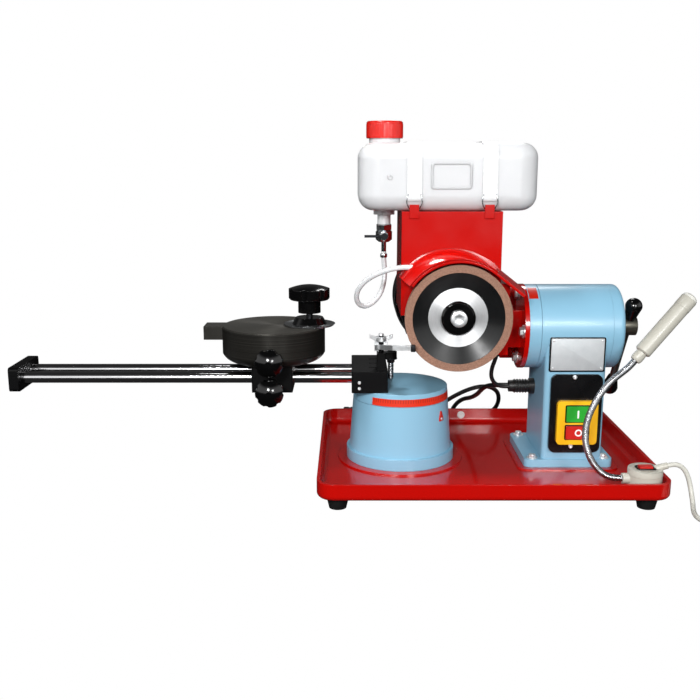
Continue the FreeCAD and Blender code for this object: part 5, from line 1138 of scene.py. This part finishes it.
@dataclass
class Lamp:
    """Trim of the work lamp: lid and bezel of its foot, lens, ring and collar of its head.

    Attributes:
        shop: the workshop that makes its pieces.
        foot: middle of the foot's top.
        foot_radius: radius of the foot.
        well_radius: radius of the lid's opening.
        bezel: outside length and width of the switch's bezel.
        rocker: inside length and width of the bezel.
        head: tail end of the lamp's head.
        aim: the way that the head points.
        head_length: length of the head.
    """

    shop: Workshop
    foot: Point = (349.5, -128.0, 45.0)
    foot_radius: float = 19.3
    well_radius: float = 12.0
    bezel: Pair = (22.0, 15.5)
    rocker: Pair = (17.0, 11.0)
    head: Point = (342.3, -92.0, 164.9)
    aim: Point = (60.0, 10.0, 69.0)
    head_length: float = 91.0

    def foot_lid(self) -> None:
        """Round-edged lid over the foot, and the black bezel of its switch."""
        reach, well = self.foot_radius, self.well_radius
        profile = [(reach - 0.2, -7.2), (reach + 0.35, -7.0), (reach + 0.35, -2.2), (reach - 0.1, -0.8),
                   (reach - 1.3, 0.1), (reach - 3.0, 0.45), (well + 0.5, 0.5), (well, 0.3), (well, -0.4)]
        self.shop.piece("lamp_foot_lid", lathe(profile, 64, loop=True), "ivory plastic", Body.BASE,
                        "cream_plastic", facing(self.foot, Way.UP))
        bezel = rim(rounded(*self.bezel, 2.5), rounded(*self.rocker, 0.6), 1.3)
        self.shop.piece("lamp_switch_bezel", bezel, "black switch plastic", Body.BASE, "black_plastic",
                        facing(self.foot, Way.UP))

    def head_trim(self) -> None:
        """Frosted lens with its ring at the end of the head, and a collar at its tail."""
        aim = Vector(self.aim).normalized()
        tail = Vector(self.head)
        tip = tail + aim * self.head_length
        lens = [(9.2, -0.6), (9.2, 0.8), (8.7, 2.4), (7.4, 3.9), (5.0, 5.1), (2.2, 5.6), (0.6, 5.7)]
        self.shop.piece("lamp_lens", lathe(lens, 40), "frosted lens", Body.BASE, "tank_white",
                        facing(tip, aim))
        band = [(9.3, -13.4), (9.75, -13.2), (9.75, -0.5), (9.5, 0.1), (9.0, 0.2), (9.0, -0.5)]
        self.shop.piece("lamp_lens_ring", lathe(band, 48, loop=True), "ivory plastic", Body.BASE,
                        "cream_plastic", facing(tip, aim))
        collar = [(4.0, -2.6), (5.6, -2.4), (6.3, -1.2), (6.8, 1.0), (6.8, 6.0), (6.2, 6.4)]
        self.shop.piece("lamp_tail_collar", lathe(collar, 40), "ivory plastic", Body.BASE, "cream_plastic",
                        facing(tail, aim))

    def build(self) -> None:
        """Make the lamp's trim."""
        self.foot_lid()
        self.head_trim()


# The arm and the finger

@dataclass
class Arm:
    """Screws of the arm block and the end plate.

    Attributes:
        shop: the workshop that makes its pieces.
        block_screws: seats of the block's screws.
        block_screw: radius of their heads.
        end_screws: seats of the screws in the rods' ends.
        end_screw: radius of their heads.
    """

    shop: Workshop
    block_screws: tuple[Point, ...] = ((22.8, -48.5, 125.5), (22.8, -48.5, 118.3))
    block_screw: float = 1.9
    end_screws: tuple[Point, ...] = ((-406.5, -21.5, 126.0), (-406.5, 21.5, 126.0))
    end_screw: float = 4.2

    def build(self) -> None:
        """Make the arm's trim."""
        for number, place in enumerate(self.block_screws):
            self.shop.screw(f"block_screw_{number + 1}", place, Way.FRONT, self.block_screw, Body.ARM)
        for number, place in enumerate(self.end_screws):
            self.shop.screw(f"rod_end_screw_{number + 1}", place, Way.LEFT, self.end_screw, Body.ARM,
                            "blackened steel")


@dataclass
class Finger:
    """Threaded stop screw, pin end and hard tip of the tooth finger.

    Attributes:
        shop: the workshop that makes its pieces.
        stop: lower end of the stop screw.
        stop_length: length of its thread.
        pitch: the thread's pitch.
        thread_root: radius at the thread's bottom.
        thread_depth: depth of the thread.
        jam_nut: height of the nut's seat.
        pin_top: top of the finger's pin.
        tip: middle of the hard tip's back.
        tip_size: width, height and thickness of the tip.
    """

    shop: Workshop
    stop: Point = (61.5, -30.0, 126.3)
    stop_length: float = 26.0
    pitch: float = 1.75
    thread_root: float = 3.1
    thread_depth: float = 0.65
    jam_nut: float = 152.4
    pin_top: Point = (49.5, -30.0, 181.3)
    tip: Point = (84.3, -89.6, 177.4)
    tip_size: Point = (5.6, 8.0, 4.7)

    def stop_screw(self) -> None:
        """Thread of the stop screw below the bracket, with a jam nut."""
        profile = [(1.6, -0.6), (2.9, 0.0)]
        turns = int(self.stop_length / self.pitch)
        for number in range(turns):
            profile += turned_rib(self.thread_root, number * self.pitch + 0.2, self.thread_depth,
                                  (0.6, 0.85, 1.45))
        profile.append((self.thread_root, self.stop_length))
        self.shop.piece("stop_screw_thread", lathe(profile, 32), "ground steel", Body.ARM, "steel",
                        facing(self.stop, Way.UP))
        self.shop.hexagon("stop_jam_nut", (self.stop[0], self.stop[1], self.jam_nut), Way.DOWN, 4.6, 4.0,
                          Body.ARM, "blackened steel")

    def pin_end(self) -> None:
        """Rounded end of the pin above the wing nut."""
        profile = [(3.2, -1.0), (3.2, 0.8), (2.8, 1.5), (1.8, 2.0), (0.7, 2.2)]
        self.shop.piece("finger_pin_end", lathe(profile, 28), "zinc plate", Body.ARM, "steel",
                        facing(self.pin_top, Way.UP))

    def hard_tip(self) -> None:
        """Dark hard tip on the finger's end, where the saw's tooth rests."""
        wide, tall, thick = self.tip_size
        self.shop.piece("finger_hard_tip", plate(rounded(wide, tall, 1.0), thick, 0.6), "blackened steel",
                        Body.FINGER, "steel", facing(self.tip, Way.FRONT))

    def build(self) -> None:
        """Make the finger's trim."""
        self.stop_screw()
        self.pin_end()
        self.hard_tip()


# The head: ring, wheel, tank

@dataclass
class Head:
    """Mark of the swing ring, arbor screw, washers of the flange, flare of the guard and rib of the neck.

    Attributes:
        shop: the workshop that makes its pieces.
        pivot: a point of the axis that the head swings on.
        ring_radius: radius of the swing ring.
        mark: edges of its sticker along the axis.
        mark_turns: start and end of the sticker, in degrees.
        screw: seat of the arbor screw, on the wheel's axis.
        bolt_x: where the flange's face is.
        bolt_circle: radius of the circle of bolts.
        bolts: number of bolts.
        flare: depth and full radius of each corner of the guard's flare.
        flare_turns: where the flare starts at the right and ends at the left, in degrees.
        flare_growth: turn over which it grows to its full radius, in degrees.
        flare_steps: steps from start to end.
        hood_front: where the plain hood's front edge is.
        hood_radius: radius of that edge.
        hood_slope: how much wider the plain hood is for each millimetre backwards.
        rib: middle of the back of the neck's rib.
        rib_size: width, height and thickness of the rib.
    """

    shop: Workshop
    pivot: Point = (0.0, 0.0, 187.0)
    ring_radius: float = 52.0
    mark: Pair = (227.5, 238.5)
    mark_turns: Pair = (107.0, 131.0)
    screw: Point = (137.7, -78.0, 209.7)
    bolt_x: float = 221.0
    bolt_circle: float = 40.0
    bolts: int = 4
    flare: tuple[Pair, ...] = (
        (-86.2, 70.2), (-85.4, 71.4), (-82.0, 74.4), (-78.0, 77.4), (-74.0, 79.8), (-70.0, 81.5),
        (-65.0, 82.7), (-58.5, 83.4), (-58.5, 73.2), (-72.0, 70.8), (-85.6, 68.8))
    flare_turns: Pair = (52.0, 146.0)
    flare_growth: float = 76.0
    flare_steps: int = 48
    hood_front: float = -86.0
    hood_radius: float = 70.3
    hood_slope: float = 0.17
    rib: Point = (212.2, 22.0, 188.0)
    rib_size: Point = (20.4, 92.0, 6.0)

    def swing_mark(self) -> None:
        """Red sticker that marks the ring's place."""
        band = wrap(lambda _: self.ring_radius, self.mark, self.mark_turns, 0.3)
        self.shop.piece("swing_mark", band, "red sticker", Body.HEAD, "red_plastic",
                        facing(self.pivot, Way.RIGHT))

    def arbor_screw(self) -> None:
        """Head of the arbor screw with a hexagon socket."""
        rings = [circle(9.0, -1.0), circle(9.75, -0.4), circle(9.75, 4.6), circle(9.4, 5.6),
                 circle(8.6, 6.0), circle(5.2, 6.0), circle(4.4, 5.9, corners=6),
                 circle(4.3, 5.6, corners=6), circle(4.3, 1.6, corners=6), circle(1.0, 0.9)]
        made = self.shop.piece("arbor_cap_screw", shell(rings), "zinc plate", Body.WHEEL, "steel",
                               facing(self.screw, Way.FRONT))
        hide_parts("arbor_screw")

    def flange_washers(self) -> None:
        """Washer under each bolt of the flange."""
        profile = [(5.2, -0.2), (8.2, -0.2), (8.2, 1.0), (7.7, 1.4), (5.2, 1.4)]
        for number in range(self.bolts):
            turn = 2 * math.pi / self.bolts * number
            place = (self.bolt_x, self.bolt_circle * math.cos(turn),
                     self.pivot[2] + self.bolt_circle * math.sin(turn))
            self.shop.piece(f"flange_washer_{number + 1}", lathe(profile, 36, loop=True), "zinc plate",
                            Body.HEAD, "steel", facing(place, Way.LEFT))

    def guard_flare(self) -> None:
        """Pressed flare of the guard, which fades out towards its right end."""
        first, last = self.flare_turns
        rings = []
        for step in range(self.flare_steps + 1):
            degrees = first + (last - first) * step / self.flare_steps
            turn = math.radians(degrees)
            grown = min(1.0, (degrees - first) / self.flare_growth)
            grown = grown * grown * (3 - 2 * grown)
            ring = []
            for y, reach in self.flare:
                plain = min(reach, self.hood_radius + self.hood_slope * (y - self.hood_front))
                radius = plain + (reach - plain) * grown
                ring.append((self.screw[0] + radius * math.cos(turn), y,
                             self.screw[2] + radius * math.sin(turn)))
            rings.append(ring)
        self.shop.piece("guard_flare", shell(rings), "red enamel", Body.HEAD, "red_enamel")

    def neck_rib(self) -> None:
        """Rib above and below the bracket's neck."""
        wide, tall, thick = self.rib_size
        self.shop.piece("neck_rib", plate(rounded(wide, tall, 2.0), thick, 0.8), "red enamel", Body.HEAD,
                        "red_enamel", facing(self.rib, Way.FRONT))

    def build(self) -> None:
        """Make the head's trim."""
        self.swing_mark()
        self.arbor_screw()
        self.flange_washers()
        self.guard_flare()
        self.neck_rib()


@dataclass
class Tank:
    """Moulded marks of the tank, hooks of its straps, ribs of its cap and fittings of its tap.

    Attributes:
        shop: the workshop that makes its pieces.
        panel: middle of the raised frame.
        panel_size: outside width and height of the frame.
        bead: width of the frame's bead, both sides together.
        boss: middle of the small boss.
        straps: where each strap's middle is.
        strap_width: width of a strap.
        fold: depth and height of a strap's folded end.
        hook: half of a hook's wire, as distances from the strap's middle, depths and heights.
        hook_middle: depth and height of the wire's middle.
        wire_radius: radius of the wire.
        cap: foot of the cap.
        cap_points: points round the cap.
        cap_rib: height of its ribs.
        spout: top of the tap's union nut.
        barb: end of the tap's tail, where the hose starts.
    """

    shop: Workshop
    panel: Point = (128.5, -55.0, 372.0)
    panel_size: Pair = (48.0, 31.0)
    bead: float = 6.0
    boss: Point = (57.4, -55.0, 370.3)
    straps: Pair = (85.7, 172.7)
    strap_width: float = 17.5
    fold: Pair = (-56.4, 350.5)
    hook: tuple[Point, ...] = ((6.5, -56.0, 353.0), (7.5, -57.9, 350.0), (9.4, -58.1, 343.5),
                               (7.4, -57.6, 337.5), (5.0, -56.2, 333.4))
    hook_middle: Pair = (-56.1, 332.6)
    wire_radius: float = 0.75
    cap: Point = (52.95, 0.0, 415.0)
    cap_points: int = 288
    cap_rib: float = 0.2
    spout: Point = (52.95, 0.0, 313.0)
    barb: Point = (52.95, 0.0, 280.0)

    def moulded_marks(self) -> None:
        """Raised frame and small boss on the front."""
        wide, tall = self.panel_size
        raised = rim(rounded(wide, tall, 4.0), rounded(wide - self.bead, tall - self.bead, 3.0), 0.55)
        self.shop.piece("tank_panel_bead", raised, "milky polyethylene", Body.HEAD, "tank_white",
                        facing(self.panel, Way.FRONT))
        profile = [(3.2, -0.3), (3.0, 0.5), (2.4, 0.9), (1.6, 0.6), (0.6, 0.5)]
        self.shop.piece("tank_boss", lathe(profile, 28), "milky polyethylene", Body.HEAD, "tank_white",
                        facing(self.boss, Way.FRONT))

    def hooks(self) -> None:
        """Wire hook from each strap's end to its tab, and the strap's folded end."""
        for number, x in enumerate(self.straps):
            left = [(x - side, y, z) for side, y, z in self.hook]
            right = [(x + side, y, z) for side, y, z in reversed(self.hook)]
            route = [*left, (x, *self.hook_middle), *right]
            wire = tube(along(metres(route), 8), lambda _: self.wire_radius, 12)
            self.shop.piece(f"strap_hook_{number + 1}", wire, "chrome plate", Body.HEAD, "chrome")
            fold = plate(rounded(self.strap_width, 12.0, 1.2), 1.1, 0.5)
            self.shop.piece(f"strap_fold_{number + 1}", fold, "white strap", Body.HEAD, "tank_white",
                            facing((x, *self.fold), Way.FRONT))

    def cap_ribs(self) -> None:
        """Ribbed skirt round the cap."""
        skirt = [(21.3, 1.0, 0.0), (21.9, 1.2, self.cap_rib), (21.9, 16.5, self.cap_rib), (21.3, 17.2, 0.0)]
        rings = [circle(radius, height, self.cap_points, ribs=ribs) for radius, height, ribs in skirt]
        self.shop.piece("cap_ribs", shell(rings, loop=True), "red cap plastic", Body.CAP, "red_plastic",
                        facing(self.cap, Way.UP))

    def tap_fittings(self) -> None:
        """Union nut over the tap, and the clip that holds the hose on its tail."""
        rings = [circle(8.4, -7.2), circle(9.0, -6.6, corners=6), circle(9.0, -0.8, corners=6),
                 circle(8.4, 0.0)]
        self.shop.piece("tap_union_nut", shell(rings), "chrome plate", Body.HEAD, "chrome",
                        facing(self.spout, Way.UP))
        clip = [(3.1, -7.6), (4.0, -7.4), (4.3, -6.6), (4.3, -3.6), (4.0, -2.8), (3.1, -2.6)]
        self.shop.piece("hose_clip", lathe(clip, 32, loop=True), "chrome plate", Body.HEAD, "chrome",
                        facing(self.barb, Way.UP))

    def build(self) -> None:
        """Make the tank's trim."""
        self.moulded_marks()
        self.hooks()
        self.cap_ribs()
        self.tap_fittings()


# Cords

MAINS_ROUTE: list[Point] = [
    (215, 17.7, 106), (206, 17.7, 106), (197, 23.5, 104.5), (190.5, 33, 101), (187.5, 46, 95),
    (187, 66, 86), (186, 91, 74), (182, 122, 61), (175, 152, 51.5), (167, 173, 38), (161, 186, 20),
    (162.5, 196.5, 7.5), (171, 208, 3.1), (185, 219, 3.1), (203, 223, 3.9), (220, 217.5, 9.5),
    (230, 205, 21), (232.5, 190.5, 34.5), (231, 177, 48), (226, 166, 59.5), (215, 159, 67.5),
    (200, 157, 69), (181, 160, 62.5), (162, 165.5, 51), (146, 171, 38.5), (132, 175, 25.5),
    (119, 178, 13.5), (107.5, 179.5, 6), (96, 179.9, 3.1)]
LAMP_ROUTE: list[Point] = [
    (374.495, -128, 48.11), (382, -128, 50), (389.5, -128.2, 47.8), (395, -128.6, 42.5),
    (398.8, -129.5, 34.5), (401, -131.5, 25), (402, -135.5, 15.5), (401.5, -142, 7.5), (399, -151, 3.4),
    (396.5, -161.5, 2.75), (396, -173, 2.75), (399.5, -184, 2.75), (407.5, -193, 2.75),
    (418, -199.5, 2.75), (430, -203, 2.75)]
HOSE_ROUTE: list[Point] = [
    (52.95, 0, 280), (52.95, 0, 270), (54.5, -1, 256), (53.5, -4, 241.5), (49, -8, 228), (40, -13, 218),
    (30, -19.5, 214), (22, -27, 218), (18.5, -34.5, 228), (21.5, -42, 240), (31, -49.5, 251.5),
    (45.5, -57, 260.5), (62, -63.5, 266.5), (80, -69, 268.8), (97.5, -71, 267.3)]
MOTOR_ROUTE: list[Point] = [
    (197, 0, 161.7), (197, 0, 153), (194.5, 1, 143), (191, 2.5, 132), (190.5, 4.5, 120.5), (195, 7, 111.8),
    (202, 9, 107.2), (209, 10.3, 106), (215, 10.3, 106)]
NECK_ROUTE: list[Point] = [
    (323.2, -128, 33), (309.8, -128, 33), (298.2, -126.6, 40), (288, -124.7, 52.1), (282, -122.3, 67.8),
    (280.5, -119.8, 82), (281.9, -117.3, 94.6), (286.2, -114.4, 107.2), (293.6, -110.7, 120.5),
    (302.5, -106.5, 132.3), (313.1, -101.5, 142.2), (325, -96.5, 149.5), (334.5, -93.3, 155.93),
    (342.3, -92, 164.9)]


@dataclass(frozen=True)
class Coil:
    """A put-away coil: turns beside and on each other.

    Attributes:
        centre: middle of the coil, X and Y in millimetres.
        middle: radius at the middle of the ring, in millimetres.
        cord: radius of the cord, in millimetres.
        turns: number of turns.
        sense: 1 for counter-clockwise from above, -1 for clockwise.
        per_turn: points in each turn.
        cross: points over which a turn eases into the next.
        tie_slack: room between the turns and their tie, in millimetres.
        tie_width: half the width of the tie, in millimetres.
        tie_thick: thickness of the tie, in millimetres.
        tie_points: points round the tie.
    """

    centre: Pair
    middle: float
    cord: float
    turns: float
    sense: int
    per_turn: int = 24
    cross: int = 5
    tie_slack: float = 0.9
    tie_width: float = 5.0
    tie_thick: float = 0.7
    tie_points: int = 32

    def lane(self, turn: int) -> Pair:
        """Lane of a turn: out, in, in, out, in, out from the floor up.

        Args:
            turn: the turn's number, from nought.

        Returns:
            Its radius and height, in millimetres.
        """
        outer = turn % 4 in (0, 3)
        if turn >= 4:
            outer = turn % 2 == 1
        return self.middle + (self.cord if outer else -self.cord), self.cord * (1 + 2 * (turn // 2))

    def points(self) -> list[Point]:
        """Points of the turns, starting at the coil's front.

        Returns:
            The turns' points in millimetres, each turn easing into the next near its end.
        """
        found: list[Point] = []
        for step in range(int(self.turns * self.per_turn) + 1):
            turn = min(step // self.per_turn, math.ceil(self.turns) - 1)
            left = self.per_turn - (step - turn * self.per_turn)
            radius, height = self.lane(turn)
            if left < self.cross and turn + 1 < self.turns:
                share = (self.cross - left) / self.cross
                after, above = self.lane(turn + 1)
                radius += (after - radius) * share
                height += (above - height) * share
            angle = math.radians(270) + self.sense * 2 * math.pi * step / self.per_turn
            found.append((self.centre[0] + radius * math.cos(angle),
                          self.centre[1] + radius * math.sin(angle), height))
        return found

    def tie(self, turn: float) -> Mesh:
        """Flat band round the turns at one place.

        Args:
            turn: where on the coil, in degrees.

        Returns:
            The band's mesh in metres.
        """
        half = 2 * self.cord + self.tie_slack
        tall = 6 * self.cord + self.tie_slack
        wide, thick = self.tie_width, self.tie_thick
        outline = []
        for number in range(self.tie_points):
            step = 2 * math.pi * number / self.tie_points
            across = math.copysign(abs(math.cos(step)) ** 0.5, math.cos(step))
            upward = math.copysign(abs(math.sin(step)) ** 0.5, math.sin(step))
            outline.append((half * across, tall / 2 + tall / 2 * upward))
        rings = []
        for thin, side in ((0.0, -wide), (0.0, wide), (thick, wide), (thick, -wide)):
            share = 1 - thin / half
            rings.append([(self.middle + x * share, side, max(0.05, (y - tall / 2) * share + tall / 2))
                          for x, y in outline])
        band = shell(rings, loop=True)
        band.transform(Matrix.Translation(Vector((*self.centre, 0)) * MM)
                       @ Matrix.Rotation(math.radians(turn), 4, "Z"))
        return band


@dataclass(frozen=True)
class Plug:
    """Moulded plug with a ribbed sleeve and two pins, in place of its CAD node.

    Attributes:
        name: the CAD node.
        tip: where the sleeve starts on the cord, in millimetres.
        way: the way that the pins point.
        cord: radius of the cord, in millimetres.
        finish: finish of the moulding.
        slot: the moulding's material slot.
        sleeve_end: radius and height of the sleeve's thick end.
        sleeve_ribs: number of grooves in the sleeve.
        sleeve_pitch: spacing of the sleeve's grooves.
        grip_ribs: number of grooves in the grip.
        grip_pitch: spacing of the grip's grooves.
        pin_side: each pin's distance from the middle.
    """

    name: str
    tip: Point
    way: Way
    cord: float
    finish: str
    slot: str
    sleeve_end: Pair = (6.0, 46.0)
    sleeve_ribs: int = 7
    sleeve_pitch: float = 5.6
    grip_ribs: int = 4
    grip_pitch: float = 5.0
    pin_side: float = 9.5

    def profile(self) -> list[Pair]:
        """Outline of the moulding, from the sleeve to the pins' face.

        Returns:
            Points of radius and height, in millimetres.
        """
        thin = self.cord + 1.0
        middle = 5 * self.cord
        thick, length = self.sleeve_end
        points = [(self.cord + 0.3, -0.4), (self.cord + 0.9, 0.0)]
        for number in range(self.sleeve_ribs):
            start = 4.0 + self.sleeve_pitch * number
            points += turned_rib(thin + (thick - thin) * start / length, start, -0.7, (0.7, 2.6, 3.3))
        points += [(thick, 45.5), (middle - 3.0, 46.2), (middle - 1.2, 47.4), (middle - 0.2, 49.6),
                   (middle, 53.0)]
        for number in range(self.grip_ribs):
            points += turned_rib(middle, 56.0 + self.grip_pitch * number, -0.8, (1.0, 2.6, 3.6))
        return [*points, (middle, 80.6), (middle - 0.5, 81.6), (middle - 1.4, 82.0)]

    def build(self, shop: Workshop) -> list[Item]:
        """Make the moulding and its pins.

        Args:
            shop: the workshop that makes them.

        Returns:
            The moulding and its pins.
        """
        made = [shop.piece(self.name + "_moulding", lathe(self.profile(), 48), self.finish, Body.BASE,
                           self.slot, facing(self.tip, self.way))]
        pin = [(2.4, 80.0), (2.4, 98.4), (2.2, 99.8), (1.5, 100.7), (0.6, 101.0)]
        for number, side in enumerate((-self.pin_side, self.pin_side)):
            across = Vector(self.way.value).cross(Vector((0, 0, 1))) * side
            spot = (self.tip[0] + across.x, self.tip[1] + across.y, self.tip[2])
            made.append(shop.piece(f"{self.name}_pin_{number + 1}", lathe(pin, 24), "zinc plate", Body.BASE,
                                   "brass", facing(spot, self.way)))
        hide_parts(self.name)
        return made


@dataclass
class Cords:
    """The mains lead, the lamp's lead, the motor's short lead, the coolant hose and the gooseneck.

    Attributes:
        shop: the workshop that makes the pieces.
        mains_radius: radius of the mains lead.
        lamp_radius: radius of the lamp's lead.
        hose_radius: radius of the hose.
        motor_radius: radius of the motor's lead.
        neck_radius: mean radius of the gooseneck.
        neck_rib: height of its ribs above and below that.
        neck_pitch: spacing of its ribs.
    """

    shop: Workshop
    mains_radius: float = 3.1
    lamp_radius: float = 2.75
    hose_radius: float = 3.0
    motor_radius: float = 2.6
    neck_radius: float = 3.84
    neck_rib: float = 0.16
    neck_pitch: float = 1.9

    def mains(self) -> None:
        """Mains lead: out of the gland, over the tray's back, round a loop and into a tied coil."""
        thick = self.mains_radius
        coil = Coil((84, 217), 34, thick, 6, -1)
        route = metres(MAINS_ROUTE + coil.points())
        made = self.shop.curve(spline("mains_cord", route, thick), "black rubber", Body.BASE, "black_cord")
        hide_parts("mains_lead", "mains_coil")
        plug = Plug("mains_plug", (84, 179.9, 15.5), Way.LEFT, thick, "black rubber", "black_plastic")
        end = plug.build(self.shop)
        tie = self.shop.piece("mains_tie", coil.tie(60), "black woven tie", Body.BASE, "rubber")

    def lamp(self) -> None:
        """Lamp's lead: out of its collar, over the tray's end and down to a tied coil on the bench."""
        thick = self.lamp_radius
        coil = Coil((442, -171), 30, thick, 5.25, 1)
        route = metres(LAMP_ROUTE + coil.points())
        made = self.shop.curve(spline("lamp_flex", route, thick), "white flex", Body.BASE, "white_cord")
        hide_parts("lamp_cord", "lamp_coil")
        plug = Plug("lamp_plug", (474.75, -171, 13.75), Way.BACK, thick, "white flex", "white_cord")
        end = plug.build(self.shop)
        tie = self.shop.piece("lamp_tie", coil.tie(140), "black woven tie", Body.BASE, "rubber")

    def hose(self) -> None:
        """Coolant hose: down from the tap, round in a bow and into the wheel guard."""
        route = metres(HOSE_ROUTE)
        made = self.shop.curve(spline("coolant_tube", route, self.hose_radius), "milky hose", Body.HEAD,
                               "white_cord")
        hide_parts("coolant_hose")

    def motor(self) -> None:
        """Motor's lead from the head down to the column, left on no body."""
        route = metres(MOTOR_ROUTE)
        path = along(route, 10)
        made = self.shop.piece("motor_flex", tube(path, lambda _: self.motor_radius), "black rubber", None,
                               "black_cord")
        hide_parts("motor_lead")
        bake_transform(made)

    def gooseneck(self) -> None:
        """Lamp's flexible neck: a close-wound steel coil, drawn as ribs."""
        def radius(far: float) -> float:
            """Radius at a distance along the neck."""
            return self.neck_radius + self.neck_rib * math.sin(2 * math.pi * far / self.neck_pitch)

        path = along(metres(NECK_ROUTE), 40)
        made = self.shop.piece("neck_coil", tube(path, radius, 24), "ground steel", Body.BASE, "chrome")
        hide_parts("gooseneck")

    def build(self) -> None:
        """Lay all the cords."""
        self.mains()
        self.lamp()
        self.hose()
        self.motor()
        self.gooseneck()


# Camera and light

@dataclass(frozen=True)
class SoftBox:
    """Square lamp.

    Attributes:
        name: its name.
        place: where it stands, in metres.
        aim: what it points at, in metres.
        size: its side, in metres.
        watts: its power.
        spread: angle of its beam, in degrees.
    """

    name: str
    place: Point
    aim: Point
    size: float
    watts: float
    spread: float = 180.0

    def hang(self) -> None:
        """Make the lamp and point it."""
        data = bpy.data.lights.new(self.name, "AREA")
        data.size = self.size
        data.energy = self.watts
        data.spread = math.radians(self.spread)
        made = bpy.data.objects.new(self.name, data)
        made.location = self.place
        made.rotation_euler = (Vector(self.aim) - Vector(self.place)).to_track_quat("-Z", "Y").to_euler()
        bpy.context.scene.collection.objects.link(made)


@dataclass
class Studio:
    """White sheet under and behind the machine in a dark room, with a bright wall before it and four lamps.

    Attributes:
        eye: where the camera stands, in metres.
        tilt: the camera's turn up from straight down, in degrees.
        lens_mm: its focal length.
        sensor_mm: width of its film.
        reach: half the width of the sheet, in metres.
        paper: the sheet's glow in reflections.
        ceiling: the room's glow.
        wall: glow of the wall before the machine.
        back_share: share of that glow behind the machine.
        wall_top: upward part of a direction where the walls start to fade and where they end.
        wall_side: backward part of a direction where the bright wall starts to fade and where it ends.
        lamps: the soft boxes.
    """

    eye: Point = (0.0115, -1.107, 0.392)
    tilt: float = 77.96
    lens_mm: float = 46.29
    sensor_mm: float = 36.0
    reach: float = 12.0
    paper: float = 0.02
    ceiling: float = 0.025
    wall: float = 1.15
    back_share: float = 0.04
    wall_top: Pair = (0.42, 0.7)
    wall_side: Pair = (-0.1, 0.35)
    lamps: tuple[SoftBox, ...] = (
        SoftBox("key", (-0.3, -1.6, 0.85), (0.05, 0, 0.2), 0.3, 23),
        SoftBox("fill", (0.6, -1.6, 0.65), (0.05, 0, 0.2), 0.3, 9),
        SoftBox("top", (-0.2, -0.08, 1.2), (0.1, -0.07, 0.27), 0.28, 0.24, 20),
        SoftBox("rear", (0.45, 1.4, 1.5), (0.05, 0.1, 0.2), 0.5, 8))

    def camera(self) -> None:
        """Camera at the photograph's viewing angle."""
        lens = bpy.data.cameras.new("view")
        lens.lens = self.lens_mm
        lens.sensor_width = self.sensor_mm
        made = bpy.data.objects.new("view", lens)
        made.location = self.eye
        made.rotation_euler = (math.radians(self.tilt), 0, 0)
        bpy.context.scene.collection.objects.link(made)
        bpy.context.scene.camera = made

    def floor(self) -> None:
        """Sheet under the machine: white to look at, and dim in the machine's reflections."""
        sheet = bpy.data.meshes.new("floor")
        far = self.reach
        corners = [(-far, -far, 0), (far, -far, 0), (far, far, 0), (-far, far, 0)]
        sheet.from_pydata(corners, [], [(0, 1, 2, 3)])
        paper = bpy.data.materials.new("white paper")
        paper.use_nodes = True
        tree = paper.node_tree
        tree.nodes.clear()
        ray = add_node(tree, "LightPath")
        glow = add_node(tree, "MapRange", {"Value": ray.outputs["Is Camera Ray"], "To Min": self.paper})
        light = add_node(tree, "Emission", {"Color": (1, 1, 1, 1), "Strength": glow.outputs["Result"]})
        add_node(tree, "OutputMaterial", {"Surface": light.outputs[0]})
        sheet.materials.append(paper)
        ground = bpy.data.objects.new("floor", sheet)
        bpy.context.scene.collection.objects.link(ground)

    def world(self) -> None:
        """White backdrop, with a dark room round the machine and a bright wall before it."""
        world = bpy.data.worlds.new("studio")
        world.use_nodes = True
        tree = world.node_tree
        tree.nodes.clear()
        split = add_node(tree, "SeparateXYZ", {0: add_node(tree, "TexCoord").outputs["Generated"]})
        low = add_node(tree, "MapRange", {
            "Value": split.outputs["Z"], "From Min": self.wall_top[0], "From Max": self.wall_top[1],
            "To Min": 1.0, "To Max": 0.0}, interpolation_type="SMOOTHSTEP")
        ahead = add_node(tree, "MapRange", {
            "Value": split.outputs["Y"], "From Min": self.wall_side[0], "From Max": self.wall_side[1],
            "To Min": self.wall, "To Max": self.wall * self.back_share}, interpolation_type="SMOOTHSTEP")
        walls = add_node(tree, "Math", {0: low.outputs["Result"], 1: ahead.outputs["Result"]},
                         operation="MULTIPLY")
        room = add_node(tree, "Math", {0: walls.outputs[0], 1: self.ceiling}, operation="ADD")
        ray = add_node(tree, "LightPath")
        glow = add_node(tree, "MapRange", {"Value": ray.outputs["Is Camera Ray"], "To Min": room.outputs[0]})
        backdrop = add_node(tree, "Background", {"Color": (1, 1, 1, 1), "Strength": glow.outputs["Result"]})
        add_node(tree, "OutputWorld", {"Surface": backdrop.outputs[0]})
        bpy.context.scene.world = world
        bpy.context.scene.view_settings.view_transform = "Standard"

    def build(self) -> None:
        """Set up the floor, the light and the camera."""
        self.camera()
        self.floor()
        self.world()
        for lamp in self.lamps:
            lamp.hang()


def main() -> None:
    """Dress the grinder and set up the studio."""
    logging.basicConfig(level=logging.INFO)
    shop = Workshop()
    shop.stock(FINISHES)
    Studio().build()
    Cords(shop).build()
    shop.dress(DRESS)
    for assembly in (Tray, Turret, Column, Lamp, Arm, Finger, Head, Tank):
        assembly(shop).build()
    LOG.info("dressed %d nodes", len(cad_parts))


if __name__ == "__main__":
    main()
